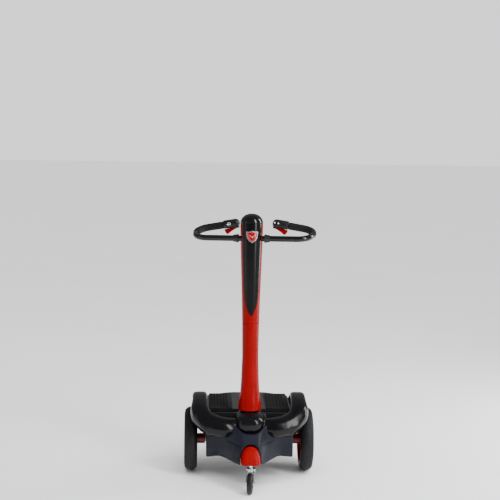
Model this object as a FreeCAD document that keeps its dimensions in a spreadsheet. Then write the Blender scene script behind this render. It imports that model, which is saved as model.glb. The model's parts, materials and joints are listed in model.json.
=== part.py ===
import FreeCAD, Part
import math
import os
from types import SimpleNamespace

import Sketcher

# A stand-on electric ride: two big driven wheels on a dead axle, a deck for
# two feet, a leaning column with a steerable looped handlebar, and a small
# swivel caster at the front and at the rear.
# Millimetres. +X is the rider's left, +Y the rear, +Z up.
# The origin is on the ground under the middle of the object.

DRIVING = {
    # main wheels
    "wheel_diameter": 240, "half_track": 217, "tyre_width": 50, "rim_radius": 92,
    "axle_radius": 5, "axle_half_length": 236, "hub_radius": 19,
    "running_gap": 0.05, "spoke_width": 14,
    # body shells
    "wall": 3, "body_half_width": 160, "floor_height": 97, "seam_height": 190,
    "belly_height": 80, "belly_half_length": 70, "deck_height": 250,
    "deck_rear": 206, "prow_half_width": 37, "prow_reach": 253,
    "nose_half_width": 36, "nose_reach": 290, "nose_floor": 101,
    "nose_shoulder": 120, "arch_radius": 128, "fender_radius": 176,
    "fender_half_width": 215, "sleeve_hole_radius": 15,
    # column, measured along its own leaning axis from its foot
    "column_lean": 4.5, "column_foot_y": -92, "column_foot_z": 256,
    "column_joint": 322, "column_shoulder": 690, "column_wall": 3,
    "core_radius": 19, "core_bore": 17, "core_top": 612, "core_foot": -150,
    # handlebar, measured in its own frame at the crossing with the column
    "bar_height": 634, "bar_radius": 11, "bar_bore": 9, "bar_half_span": 218,
    "loop_depth": 110, "leg_end": 78, "leg_end_rise": 53, "leg_slope": 9.4,
    "front_bend": 50, "rear_bend": 42, "steer_turn": 11,
    "pod_radius": 16.5, "pod_length": 46, "grip_radius": 14,
    "stem_radius": 8, "stem_bore": 5,
    # casters
    "caster_reach": 262, "caster_radius": 37.5, "caster_width": 20,
    "caster_trail": 27, "caster_turn": 7, "caster_stem_radius": 6,
    # drive train, one per side
    "case_inner": 94, "case_outer": 140, "lid_outer": 143,
    "pin_radius": 3, "motor_radius": 19, "motor_inner": 37,
    # chassis, battery and board
    "plate_low": 101, "plate_high": 104, "battery_width": 150,
    "battery_front": 70, "battery_depth": 98, "battery_height": 98,
}

PRESSURE_ANGLE = math.radians(25)
SIDES = (("left", 1), ("right", -1))


class Size:
    """A number together with the sheet expression that gives it."""

    def __init__(self, value, text):
        self.value = float(value)
        self.text = text

    def _with(self, other, sign, value):
        return Size(value, f"({self.text} {sign} {as_size(other).text})")

    def __add__(self, other):
        return self._with(other, "+", self.value + as_size(other).value)

    def __sub__(self, other):
        return self._with(other, "-", self.value - as_size(other).value)

    def __mul__(self, other):
        return self._with(other, "*", self.value * as_size(other).value)

    def __truediv__(self, other):
        return self._with(other, "/", self.value / as_size(other).value)

    def __radd__(self, other):
        return as_size(other) + self

    def __rsub__(self, other):
        return as_size(other) - self

    def __rmul__(self, other):
        return as_size(other) * self

    def __neg__(self):
        return Size(-self.value, f"(-1 * {self.text})")


def as_size(number):
    if isinstance(number, Size):
        return number
    return Size(number, f"({float(number)!r})")


def vector(x, y, z):
    return FreeCAD.Vector(as_size(x).value, as_size(y).value, as_size(z).value)


def make_sheet(doc):
    """Write the driving dimensions and return them by name as Size values."""
    sheet = doc.addObject("Spreadsheet::Sheet", "Sizes")
    for row, (alias, number) in enumerate(DRIVING.items(), start=1):
        sheet.set(f"A{row}", alias)
        sheet.set(f"B{row}", str(number))
        sheet.setAlias(f"B{row}", alias)
    doc.recompute()
    named = {alias: Size(number, f"Sizes.{alias}") for alias, number in DRIVING.items()}
    return SimpleNamespace(**named)


doc = FreeCAD.newDocument("ride")
dim = make_sheet(doc)
nodes = {}


# ---------------------------------------------------------------- helpers

ALONG = {
    "X": FreeCAD.Rotation(FreeCAD.Vector(0, 1, 0), 90),
    "Y": FreeCAD.Rotation(FreeCAD.Vector(1, 0, 0), -90),
    "Z": FreeCAD.Rotation(),
}


def bind(item, path, size):
    item.setExpression(path, as_size(size).text)


def place(item, point, turn=None):
    item.Placement = FreeCAD.Placement(vector(*point), turn or FreeCAD.Rotation())
    for axis, size in zip("xyz", point):
        bind(item, f"Placement.Base.{axis}", size)
    return item


def keep(item, name, frame=None):
    """Give a finished piece its label and, where it has one, its frame."""
    if frame is not None:
        item.Placement = frame
    item.Label = name
    nodes[name] = item
    return item


def cylinder(axis, start, length, radius):
    item = doc.addObject("Part::Cylinder", "cylinder")
    bind(item, "Radius", radius)
    bind(item, "Height", length)
    return place(item, start, ALONG[axis])


def cone(axis, start, length, radius_start, radius_end):
    item = doc.addObject("Part::Cone", "cone")
    bind(item, "Radius1", radius_start)
    bind(item, "Radius2", radius_end)
    bind(item, "Height", length)
    return place(item, start, ALONG[axis])


def hexagon(axis, start, length, radius):
    item = doc.addObject("Part::Prism", "hexagon")
    item.Polygon = 6
    bind(item, "Circumradius", radius)
    bind(item, "Height", length)
    return place(item, start, ALONG[axis])


def sphere(centre, radius):
    item = doc.addObject("Part::Sphere", "sphere")
    bind(item, "Radius", radius)
    return place(item, centre)


def ellipsoid(centre, half_x, half_y, half_z):
    item = doc.addObject("Part::Ellipsoid", "ellipsoid")
    bind(item, "Radius1", half_z)
    bind(item, "Radius2", half_x)
    bind(item, "Radius3", half_y)
    return place(item, centre)


def box(low, high):
    item = doc.addObject("Part::Box", "box")
    for name, first, last in zip(("Length", "Width", "Height"), low, high):
        bind(item, name, as_size(last) - first)
    return place(item, low)


def cut(base, *tools):
    for tool in tools:
        item = doc.addObject("Part::Cut", "cut")
        item.Base = base
        item.Tool = tool
        base = item
    return base


def fuse(*pieces):
    item = doc.addObject("Part::MultiFuse", "fusion")
    item.Shapes = list(pieces)
    return item


def common(base, tool):
    item = doc.addObject("Part::Common", "common")
    item.Base = base
    item.Tool = tool
    return item


def group(*pieces):
    item = doc.addObject("Part::Compound", "group")
    item.Links = list(pieces)
    return item


def solid(shape):
    item = doc.addObject("Part::Feature", "solid")
    item.Shape = shape
    return item


def along(side, inner, outer):
    """The lower end, on the X axis, of a span that runs outward on one side."""
    return as_size(inner) if side > 0 else -as_size(outer)


def shaft(side, inner, outer, y, z, radius):
    """A cylinder along X between two distances from the middle plane."""
    return cylinder("X", (along(side, inner, outer), y, z), as_size(outer) - inner, radius)


def mirrored(half):
    """A closed outline from its +X half, listed from front to rear."""
    return half + [(-as_size(x), y) for x, y in reversed(half)]


def origin_plane(body, role):
    return [item for item in body.Origin.OriginFeatures if item.Role == role][0]


def arc_between(first, last, radius):
    """The counter-clockwise arc on a chord; a positive radius bulges to its left."""
    middle = (first + last) * 0.5
    chord = last - first
    normal = FreeCAD.Vector(-chord.y, chord.x, 0).normalize()
    half = chord.Length / 2
    rise = abs(radius) - math.sqrt(radius * radius - half * half)
    if radius > 0:
        return Part.Arc(last, middle + normal * rise, first)
    return Part.Arc(first, middle - normal * rise, last)


def crown_radius(half_width, rise):
    """Radius of an arc that rises this much over this half width."""
    return (half_width * half_width + rise * rise) / (2 * as_size(rise))


def sketch_outline(body, role, points, offset=0):
    """A closed sketch through points; (x, y, radius) starts an arc edge."""
    sketch = body.newObject("Sketcher::SketchObject", "outline")
    sketch.AttachmentSupport = [(origin_plane(body, role), "")]
    sketch.MapMode = "FlatFace"
    bind(sketch, "AttachmentOffset.Base.z", offset)
    corners = [vector(point[0], point[1], 0) for point in points]
    ends = []
    for index, point in enumerate(points):
        first = corners[index]
        last = corners[(index + 1) % len(points)]
        if len(point) == 3:
            edge = arc_between(first, last, as_size(point[2]).value)
        else:
            edge = Part.LineSegment(first, last)
        sketch.addGeometry(edge)
        starts_at_first = (sketch.Geometry[index].StartPoint - first).Length < 1e-6
        ends.append((1, 2) if starts_at_first else (2, 1))
    for index, point in enumerate(points):
        before = index - 1 if index else len(points) - 1
        sketch.addConstraint(Sketcher.Constraint(
            "Coincident", before, ends[before][1], index, ends[index][0]))
        for kind, size in zip(("DistanceX", "DistanceY"), point):
            number = sketch.addConstraint(Sketcher.Constraint(
                kind, index, ends[index][0], as_size(size).value))
            bind(sketch, f"Constraints[{number}]", size)
        if len(point) == 3:
            radius = as_size(point[2])
            radius = radius if radius.value > 0 else -radius
            number = sketch.addConstraint(Sketcher.Constraint("Radius", index, radius.value))
            bind(sketch, f"Constraints[{number}]", radius)
    return sketch


def new_body(name="body"):
    return doc.addObject("PartDesign::Body", name)


def prism(role, points, low, high):
    """An outline padded between two distances from one origin plane."""
    body = new_body()
    start = low if role != "XZ_Plane" else -as_size(high)
    pad = body.newObject("PartDesign::Pad", "pad")
    pad.Profile = sketch_outline(body, role, points, start)
    bind(pad, "Length", as_size(high) - low)
    body.Tip = pad
    return body


def turned(points):
    """A section of (x, radius) points revolved about the X axis."""
    body = new_body()
    sketch = sketch_outline(body, "XY_Plane", points)
    revolution = body.newObject("PartDesign::Revolution", "revolution")
    revolution.Profile = sketch
    revolution.ReferenceAxis = (sketch, ["H_Axis"])
    revolution.Angle = 360
    body.Tip = revolution
    return body


def lofted(low, low_points, high, high_points):
    """A straight-sided loft between two level outlines."""
    body = new_body()
    sketches = [
        sketch_outline(body, "XY_Plane", low_points, low),
        sketch_outline(body, "XY_Plane", high_points, high),
    ]
    loft = body.newObject("PartDesign::AdditiveLoft", "loft")
    loft.Profile = sketches[0]
    loft.Sections = sketches[1:]
    loft.Ruled = True
    body.Tip = loft
    return body


def rounded_wire(points, radii):
    """Straight runs through points, joined by tangent arcs at the corners."""
    edges = []
    start = points[0]
    for corner, after, radius in zip(points[1:-1], points[2:], radii):
        back = (start - corner).normalize()
        ahead = (after - corner).normalize()
        half_angle = back.getAngle(ahead) / 2
        reach = radius / math.tan(half_angle)
        bisector = (back + ahead).normalize()
        centre = corner + bisector * (radius / math.sin(half_angle))
        enter = corner + back * reach
        leave = corner + ahead * reach
        crown = centre - bisector * radius
        if (enter - start).Length > 1e-6:
            edges.append(Part.LineSegment(start, enter).toShape())
        edges.append(Part.Arc(enter, crown, leave).toShape())
        start = leave
    edges.append(Part.LineSegment(start, points[-1]).toShape())
    return Part.Wire(edges)


def rod(points, radii, radius):
    """A round bar swept along a rounded path."""
    wire = rounded_wire(points, radii)
    direction = points[1] - points[0]
    circle = Part.Wire(Part.Circle(points[0], direction, radius).toShape())
    return wire.makePipeShell([circle], True, False)


def pipe(points, radii, radius, bore):
    return rod(points, radii, radius).cut(rod(points, radii, bore))


# ---------------------------------------------------------------- frames

lean = dim.column_lean.value
COLUMN = FreeCAD.Placement(
    vector(0, dim.column_foot_y, dim.column_foot_z),
    FreeCAD.Rotation(FreeCAD.Vector(1, 0, 0), -lean))
BAR = COLUMN * FreeCAD.Placement(
    vector(0, 0, dim.bar_height),
    FreeCAD.Rotation(FreeCAD.Vector(0, 0, 1), -dim.steer_turn.value))


def leg_frame(side):
    """Frame at a handlebar end: +X along the rear leg, outward for side +1."""
    turn = FreeCAD.Rotation(FreeCAD.Vector(0, 1, 0), side * dim.leg_slope.value)
    point = vector(side * dim.leg_end, dim.loop_depth, dim.leg_end_rise)
    return BAR * FreeCAD.Placement(point, turn)


def caster_frame(side):
    """Frame on a caster's swivel axis; the wheel trails along local -Y."""
    turn = -dim.caster_turn.value + (180 if side > 0 else 0)
    return FreeCAD.Placement(
        vector(0, side * dim.caster_reach, 0),
        FreeCAD.Rotation(FreeCAD.Vector(0, 0, 1), turn))


axle_height = dim.wheel_diameter / 2


# ---------------------------------------------------------------- upper cover

cover_sides = dim.body_half_width


def cover_block(inset):
    """The deck block: a stepped side profile trimmed to the plan outline."""
    side = cover_sides - inset
    top = dim.deck_height - inset
    rear = dim.deck_rear - inset
    profile = [
        (-160 + inset, dim.seam_height), (-128 + inset, 225 - inset),
        (-98 + inset, 230 - inset), (-96 + inset, 243 - inset),
        (-66 + inset, 243 - inset), (-62 + inset, top),
        (rear, top), (rear, dim.seam_height),
    ]
    plan = mirrored([
        (37, -170 + inset), (110 - inset, -160 + inset), (side, -132 + inset),
        (side, 150), (118, 182 - inset), (66, rear)])
    return common(prism("YZ_Plane", profile, -side, side),
                  prism("XY_Plane", plan, dim.seam_height - 1, dim.deck_height))


def fender_blocks(inset):
    """Ring segments over both main wheels, trimmed by the front outline."""
    outer = dim.fender_radius - inset
    inner = dim.arch_radius + inset
    reach = dim.fender_half_width - inset
    inboard = dim.body_half_width - 3 + inset
    if inset:
        inboard = dim.body_half_width - 8
    blocks = []
    for name, side in SIDES:
        ring = cut(shaft(side, inboard, reach, 0, axle_height, outer),
                   shaft(side, inboard - 1, reach + 1, 0, axle_height, inner))
        front = [(side * x, z) for x, z in (
            (inboard, dim.seam_height + inset), (164 - inset, dim.seam_height + 4 + inset),
            (195 - inset, 230), (211 - inset, 262), (reach, 300), (inboard, 300))]
        blocks.append(common(ring, prism("XZ_Plane", front, -200, 200)))
    return blocks


# centre and radii of the rounded masses at the front of the cover, on side +1
LOBE = ((98, -112, 198), (72, 66, 34))
BUMPER = ((152, -118, 213), (42, 44, 37))
HUMP = ((0, -112, 208), (58, 77, 50))


def rounded_mass(shape, side, inset):
    (x, y, z), radii = shape
    return ellipsoid((side * as_size(x), y, z), *[radius - as_size(inset) for radius in radii])


def cover_mass(inset):
    """Everything the upper cover encloses, drawn in by the wall thickness."""
    bumpers = []
    for name, side in SIDES:
        bumpers.append(rounded_mass(LOBE, side, inset))
        bumpers.append(rounded_mass(BUMPER, side, inset))
    hump = rounded_mass(HUMP, 1, inset)
    mass = fuse(cover_block(as_size(inset)), *fender_blocks(as_size(inset)
                if inset else 0), *bumpers, hump)
    floor = 177 if not inset else 170
    under = box((-230, -260, 100), (230, 0, floor))
    behind = box((-230, 0, 100), (230, 260, dim.seam_height - (0 if not inset else 10)))
    return cut(mass, under, behind)


cover_outer = cover_mass(0)
cover_inner = cover_mass(dim.wall)


def boss(x, y, top, radius=5):
    return cylinder("Z", (x, y, 100.2), top - 100.2, radius)


BOSSES = (
    (75, -137, 224), (-75, -137, 224), (120, 80, 248), (-120, 80, 248),
    (120, 118, 248), (-120, 118, 248))

wheel_arches = [
    shaft(side, dim.body_half_width + 3, 260, 0, axle_height, dim.arch_radius)
    for name, side in SIDES]
core_hole = group(cylinder("Z", (0, 0, -80), 120, dim.core_radius + 3))
core_hole.Placement = COLUMN
switch_hole = box((-11, 6, 240), (11, 24, 256))
socket_hole = cylinder("Y", (0, 195, 222), 20, 8)
upper = cut(cover_outer, cover_inner, *wheel_arches)
upper = fuse(upper, *[boss(*item) for item in BOSSES])
upper = cut(upper, core_hole, switch_hole, socket_hole,
            *[boss(x, y, 140, 2) for x, y, top in BOSSES])
keep(upper, "upper_cover")


# ---------------------------------------------------------------- lower housing

def floor_outline(inset):
    side = dim.body_half_width - inset
    prow = dim.prow_half_width - inset / 2
    reach = dim.prow_reach - inset
    return mirrored([
        (prow, -reach), (62 - inset / 2, -201 + inset), (110, -130 + inset),
        (side, -148 + inset), (side, 150 - inset), (110, 134 - inset),
        (62 - inset / 2, 201 - inset), (prow, reach)])


def seam_outline(inset):
    side = dim.body_half_width - inset
    prow = dim.prow_half_width - inset / 2
    rear = dim.deck_rear - inset
    return mirrored([
        (prow, -196 + inset), (62 - inset / 2, -172 + inset), (110, -158 + inset),
        (side, -134 + inset), (side, 150 - inset), (118, 180 - inset),
        (66 - inset / 2, rear - 4), (prow, rear)])


def housing_mass(inset, low, high):
    return lofted(low, floor_outline(inset), high, seam_outline(inset))


belly_side = dim.body_half_width - 3
belly = box((-belly_side, -dim.belly_half_length, dim.belly_height),
            (belly_side, dim.belly_half_length, dim.floor_height + 3))
belly_inner = box((-belly_side + 3, -dim.belly_half_length + 3, dim.belly_height + 3),
                  (belly_side - 3, dim.belly_half_length - 3, dim.floor_height + 4))
housing_outer = fuse(housing_mass(as_size(0), dim.floor_height, dim.seam_height), belly)
housing_inner = housing_mass(dim.wall, dim.floor_height + dim.wall, dim.seam_height + 1)
sleeve_holes = [
    shaft(side, 150, 170, 0, axle_height, dim.sleeve_hole_radius) for name, side in SIDES]
arm_slots = [
    box((-19, -262, 100.2), (19, -222, 106)), box((-19, 222, 100.2), (19, 262, 106))]
screw_holes = [cylinder("Z", (x, y, 96), 6, 2.2) for x, y, top in BOSSES]
lower = cut(housing_outer, housing_inner, belly_inner, cover_outer,
            *sleeve_holes, *arm_slots, *screw_holes)
keep(lower, "lower_housing")


def end_cover(side):
    """The arched red cover over a caster's stem, open below and behind."""
    def mass(inset):
        half = dim.nose_half_width - inset
        top = dim.nose_shoulder
        arch = [(-half, dim.nose_floor), (half, dim.nose_floor), (half, top, -(half + 0.01)),
                (-half, top)]
        front = dim.nose_reach - inset
        back = 253.3 if not inset.value else 240
        crown = (210.5 if side < 0 else 218.6) if not inset.value else 190
        profile = [
            (side * as_size(back), dim.nose_floor),
            (side * front, dim.nose_floor),
            (side * (front - 50), 172),
            (side * as_size(crown), 172)]
        if side < 0:
            profile.reverse()
        return common(prism("XZ_Plane", arch, -300, 300),
                      prism("YZ_Plane", profile, -40, 40))
    return cut(mass(as_size(0)), mass(dim.wall))


keep(end_cover(-1), "nose_cover")
keep(end_cover(1), "tail_cover")


# ---------------------------------------------------------------- chassis and battery

def chassis_frame():
    plate = prism("XY_Plane", mirrored([
        (18, -dim.caster_reach - 2), (18, -215), (35, -205), (35, 60), (82, 66), (82, 132),
        (58, 172), (35, 180), (18, 222), (18, dim.caster_reach + 2)]), dim.plate_low, dim.plate_high)
    bosses = []
    bores = []
    for side in (-1, 1):
        centre = side * dim.caster_reach
        bosses.append(cylinder("Z", (0, centre, dim.plate_low), 15, 12))
        bores.append(cylinder("Z", (0, centre, dim.plate_low - 1), 20, dim.caster_stem_radius))
    ears = []
    for x in (-35, 32):
        ears.append(box((x, -18, dim.plate_low), (x + 3, 18, axle_height + 14)))
    socket = cut(cylinder("Z", (0, 0, 0), 61, 25), cylinder("Z", (0, 0, -1), 63, dim.core_radius))
    socket.Placement = COLUMN * FreeCAD.Placement(vector(0, 0, -156), FreeCAD.Rotation())
    socket = cut(socket, box((-40, -150, 80), (40, -60, dim.plate_low)))
    axle_hole = cylinder("X", (-60, 0, axle_height), 120, dim.axle_radius)
    return cut(fuse(plate, socket, *bosses, *ears), axle_hole, *bores)


keep(chassis_frame(), "chassis_frame")

half_battery = dim.battery_width / 2
battery_low = dim.plate_high + 0.5
battery_top = battery_low + dim.battery_height
battery_rear = dim.battery_front + dim.battery_depth
battery = fuse(
    box((-half_battery, dim.battery_front, battery_low),
        (half_battery, battery_rear, battery_top)),
    box((-60, battery_rear - 22, battery_top), (-48, battery_rear - 10, battery_top + 5)),
    box((48, battery_rear - 22, battery_top), (60, battery_rear - 10, battery_top + 5)))
keep(battery, "battery")

strap_low = battery_top + 0.5
strap = fuse(
    box((-half_battery - 4, 95, strap_low), (half_battery + 4, 125, strap_low + 2)),
    box((half_battery + 2, 95, dim.plate_high), (half_battery + 4, 125, strap_low + 2)),
    box((-half_battery - 4, 95, dim.plate_high), (-half_battery - 2, 125, strap_low + 2)),
    *[cylinder("Z", (x, y, strap_low), 12, 3) for x in (-40, 40) for y in (99, 121)])
keep(strap, "battery_strap")

board_low = strap_low + 12
board = fuse(
    box((-50, 78, board_low), (50, 140, board_low + 2)),
    box((-42, 86, board_low + 2), (-20, 108, board_low + 12)),
    box((20, 112, board_low + 2), (42, 134, board_low + 10)),
    box((-12, 78, board_low + 2), (12, 86, board_low + 9)),
    cylinder("Z", (34, 94, board_low + 2), 14, 6),
    cylinder("Z", (-6, 122, board_low + 2), 14, 6))
keep(board, "control_board")

socket = cut(
    fuse(cylinder("Y", (0, 206, 222), 3, 11), cylinder("Y", (0, 188, 222), 18, 7.9)),
    cylinder("Y", (0, 192, 222), 20, 2.8))
keep(socket, "charge_socket")

bezel = cut(
    fuse(box((-14, 3, 250), (14, 27, 252)), box((-10.8, 6.2, 236), (10.8, 23.8, 250))),
    box((-9, 8, 238), (9, 22, 260)))
pivot_bores = cylinder("X", (-12, 15, 248), 24, 1)
keep(cut(bezel, pivot_bores), "power_switch_bezel")
rocker_points = [(8.8, 243), (21.2, 243), (21.2, 251), (15, 253), (8.8, 256)]
rocker = common(
    prism("YZ_Plane", rocker_points, -8.6, 8.6),
    cylinder("X", (-9, 15, 248), 18, 6.7))
rocker_face = fuse(rocker, cylinder("X", (-10.4, 15, 248), 20.8, 0.95))
keep(rocker_face, "power_switch_rocker")

for name, side in SIDES:
    mat = box((along(side, 62, 150), -60, dim.deck_height),
              (along(side, 62, 150) + 88, 170, dim.deck_height + 2))
    ribs = [box((along(side, 66, 146), y, dim.deck_height + 2),
                (along(side, 66, 146) + 80, y + 5, dim.deck_height + 3.5))
            for y in range(-52, 164, 12)]
    keep(fuse(mat, *ribs), f"{name}_foot_mat")


# ---------------------------------------------------------------- column

# half width and half depth of the column shell along its axis
COLUMN_SECTIONS = (
    (0, 43, 43.5), (25, 41.5, 42), (66, 35.5, 36), (110, 33, 34), (200, 30, 31),
    (322, 31.5, 34), (402, 33.5, 37), (490, 36.5, 41), (560, 39, 44), (638, 41.5, 47),
    (690, 42, 47.5))


def column_mass(grow):
    sections = []
    for height, half_width, half_depth in COLUMN_SECTIONS:
        item = doc.addObject("Part::Ellipse", "section")
        bind(item, "MajorRadius", as_size(half_depth) + grow)
        bind(item, "MinorRadius", as_size(half_width) + grow)
        place(item, (0, 0, height), FreeCAD.Rotation(FreeCAD.Vector(0, 0, 1), 90))
        sections.append(item)
    loft = doc.addObject("Part::Loft", "column_loft")
    loft.Sections = sections
    loft.Solid = True
    loft.Ruled = False
    return loft


column_outer = column_mass(0)
column_inner = column_mass(-dim.column_wall)
column_wall = cut(column_outer, column_inner)
steer_slots = box((-60, -21.5, dim.bar_height - 13.5), (60, 21.5, dim.bar_height + 13.5))
lower_part = box((-60, -60, -1), (60, 60, dim.column_joint))
upper_part = cut(cut(column_wall, lower_part), steer_slots)
# half widths of the black front panel at heights along the column
PANEL_EDGE = (
    (1, 350), (14, 374), (21.5, 397), (25, 420), (29, 480), (32.5, 578), (35, 640), (36, 690),
    (36, 700))
tongue_outline = [(-x, z) for x, z in PANEL_EDGE] + [(x, z) for x, z in reversed(PANEL_EDGE)]
tongue_outline.reverse()
tongue = prism("XZ_Plane", tongue_outline, -60, 0)

keep(common(column_wall, lower_part), "column_lower_shell", COLUMN)
keep(cut(upper_part, tongue), "column_upper_shell", COLUMN)
keep(common(upper_part, tongue), "column_front_panel", COLUMN)

dome = cut(
    ellipsoid((0, 0, dim.column_shoulder), 42, 47.5, 36),
    ellipsoid((0, 0, dim.column_shoulder), 39, 44.5, 33),
    box((-60, -60, 600), (60, 60, dim.column_shoulder)))
keep(dome, "head_cover", COLUMN)

shield = [
    (-23.5, 662), (0, 665), (23.5, 662), (22, 640), (14, 626), (0, 617), (-14, 626), (-22, 640)]
shield_band = prism("XZ_Plane", shield, -60, -10)
shield_field = prism("XZ_Plane", [(x * 0.82, 641 + (z - 641) * 0.82) for x, z in shield],
                     -60, -10)
badge_skin = cut(column_mass(1.6), column_outer)
badge_rim_skin = cut(column_mass(2.6), column_outer)
badge = fuse(common(cut(badge_rim_skin, shield_field), shield_band),
             common(badge_skin, shield_field))
keep(badge, "badge", COLUMN)

core = cut(
    cylinder("Z", (0, 0, dim.core_foot), dim.core_top - dim.core_foot, dim.core_radius),
    cylinder("Z", (0, 0, dim.core_foot - 1), dim.core_top - dim.core_foot + 2, dim.core_bore),
    cylinder("Y", (0, 0, -17), 30, 8))
keep(core, "column_core_tube", COLUMN)

bushes = []
for low in (dim.core_top - 12, dim.core_top - 86):
    bushes.append(cut(
        cylinder("Z", (0, 0, low), 12, dim.core_bore),
        cylinder("Z", (0, 0, low - 1), 14, dim.stem_radius + dim.running_gap)))
keep(group(*bushes), "steering_bushes", COLUMN)


# ---------------------------------------------------------------- handlebar

stem = fuse(
    box((-16, -17, -17), (16, 17, 17)),
    cylinder("Z", (0, 0, -112), 98, dim.stem_radius),
    cylinder("Z", (0, 0, -21.7), 5, 14))
stem = cut(stem, cylinder("X", (-20, 0, 0), 40, dim.bar_radius),
           cylinder("Z", (0, 0, -113), 103, dim.stem_bore))
keep(stem, "steering_stem", BAR)

slope = math.radians(dim.leg_slope.value)
corner_rise = dim.leg_end_rise - (dim.bar_half_span - dim.leg_end) * math.tan(slope)
left_half = [
    vector(dim.leg_end, dim.loop_depth, dim.leg_end_rise),
    vector(dim.bar_half_span, dim.loop_depth, corner_rise),
    vector(dim.bar_half_span, 0, 0)]
right_half = [FreeCAD.Vector(-point.x, point.y, point.z) for point in left_half]
bends = (dim.rear_bend.value, dim.front_bend.value)
bar = pipe(left_half + right_half[::-1], bends + bends[::-1],
           dim.bar_radius.value, dim.bar_bore.value)
keep(solid(bar), "handlebar", BAR)

collars = []
for name, side in SIDES:
    collar = cone("X", (side * as_size(48), 0, 0), 20, 16, 13)
    if side < 0:
        collar = cone("X", (-68, 0, 0), 20, 13, 16)
    collars.append(cut(collar, cylinder("X", (-80, 0, 0), 160, dim.bar_radius)))
keep(group(*collars), "bar_collars", BAR)


def grip(side):
    """A sleeve on the rear leg that follows the bend towards the front."""
    end, corner, front = [FreeCAD.Vector(side * p.x, p.y, p.z) for p in left_half]
    outward = (corner - end).normalize()
    start = end + outward * (dim.pod_length.value + 1)
    stop = corner + (front - corner).normalize() * (dim.rear_bend.value + 14)
    return pipe([start, corner, stop], [dim.rear_bend.value],
                dim.grip_radius.value, dim.bar_radius.value)


def pod(side):
    """The switch housing on a bar end, with a trigger slot and hinge ears."""
    barrel = shaft(side, 0, dim.pod_length, 0, 0, dim.pod_radius)
    ears = [box((along(side, -11, 3), y, -19), (along(side, -11, 3) + 14, y + 3, -5))
            for y in (-10.6, 7.6)]
    slot = box((along(side, -13, 47), -7.6, -20), (along(side, -13, 47) + 60, 7.6, -11.4))
    pin_hole = cylinder("Y", (-5 * side, -14, -14.5), 28, 1.5)
    bar_bore = shaft(side, 0, dim.pod_length + 1, 0, 0, dim.bar_radius)
    return cut(fuse(barrel, sphere((0, 0, 0), dim.pod_radius), *ears), bar_bore, slot, pin_hole)


def trigger(side):
    outline = [(-9, -12.2), (45.5, -16.6), (45.5, -23), (39, -36), (34, -36.5), (24, -30),
               (0, -20), (-9, -18)]
    outline = [(side * x, z) for x, z in outline]
    blade = prism("XZ_Plane", outline, -7, 7)
    return cut(blade, cylinder("Y", (-5 * side, -8, -14.5), 16, 1.55))


button_bore = cylinder("Y", (-24, -20, 1), 8.9, 8)
keep(cut(pod(-1), button_bore), "right_pod", leg_frame(-1))
lamp_bores = [cylinder("Y", (x, -20, 3), 7.8, 3) for x in (-6, 8)]
keep(cut(pod(1), *lamp_bores), "left_pod", leg_frame(1))
keep(group(*[cylinder("Y", (x, -17.2, 3), 5, 2.95) for x in (-6, 8)]),
     "indicator_lamps", leg_frame(1))
button = fuse(cylinder("Y", (-24, -19.5, 1), 5.5, 7.6), cone("Y", (-24, -20.5, 1), 1, 6, 7.6))
keep(button, "horn_button", leg_frame(-1))
trigger_pins = []
for name, side in SIDES:
    keep(solid(grip(side)), f"{name}_grip", BAR)
    keep(trigger(side), f"{name}_trigger", leg_frame(side))
    pin = doc.addObject("Part::Cylinder", "trigger_pin")
    pin.Radius = 1.5
    pin.Height = 21.2
    pin.Placement = leg_frame(side) * FreeCAD.Placement(
        vector(-5 * side, -10.6, -14.5), ALONG["Y"])
    trigger_pins.append(pin)
keep(group(*trigger_pins), "trigger_pins")


# ---------------------------------------------------------------- main wheels

def tyre():
    half = dim.tyre_width / 2
    outer = dim.wheel_diameter / 2
    crown = crown_radius(half, outer - 103)
    cavity = crown_radius(half - 7, outer - 108)
    return turned([
        (-21, 92.2), (-21, 97.5), (-half, 100), (-half, 103, crown), (half, 103),
        (half, 100), (21, 97.5), (21, 92.2), (15, 92.2), (15, 98), (half - 7, 101, -cavity),
        (7 - half, 101), (-15, 98), (-15, 92.2)])


def rim():
    """Hub, web, barrel and flanges in one revolved section, with spoke ribs."""
    bore = dim.axle_radius + dim.running_gap
    body = turned([
        (-54, 12), (-54, dim.hub_radius), (-3, dim.hub_radius), (-3, 87), (-23.7, 87),
        (-23.7, 97), (-21.2, 97), (-21.2, dim.rim_radius), (21.2, dim.rim_radius),
        (21.2, 97), (23.7, 97), (23.7, 87), (3, 87), (3, dim.hub_radius),
        (9, dim.hub_radius), (9, bore), (-38.5, bore), (-38.5, 12)])
    half = dim.spoke_width / 2
    sketch = sketch_outline(body, "YZ_Plane", [
        (-half, 20.5), (half, 20.5), (half, 86), (-half, 86)], 2.5)
    spoke = body.newObject("PartDesign::Pad", "spoke")
    spoke.Profile = sketch
    spoke.Length = 12
    pattern = body.newObject("PartDesign::PolarPattern", "spokes")
    pattern.Originals = [spoke]
    pattern.Axis = (origin_plane(body, "X_Axis"), [""])
    pattern.Angle = 360
    pattern.Occurrences = 5
    body.Tip = pattern
    return body


def hub_cap():
    return turned([
        (9.2, 17), (9.2, 19.5), (19, 19.5), (25, 14), (25, 0), (22.5, 0), (22.5, 12.5),
        (17.5, 17)])


for name, side in SIDES:
    turn = FreeCAD.Rotation(FreeCAD.Vector(0, 0, 1), 0 if side > 0 else 180)
    centre = (side * dim.half_track, 0, axle_height)
    for label, build in (("tyre", tyre), ("rim", rim), ("hub_cap", hub_cap)):
        keep(place(build(), centre, turn), f"{name}_{label}")

axle = cylinder("X", (-dim.axle_half_length, 0, axle_height), dim.axle_half_length * 2,
                dim.axle_radius)
keep(axle, "axle_rod")
nuts = []
for name, side in SIDES:
    nut = hexagon("X", (along(side, 226.6, 232.6), 0, axle_height), 6, 9)
    washer = shaft(side, 232.6, 233.6, 0, axle_height, 8)
    nuts.append(cut(fuse(nut, washer),
                    shaft(side, 220, 240, 0, axle_height, dim.axle_radius)))
keep(group(*nuts), "axle_nuts")


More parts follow.
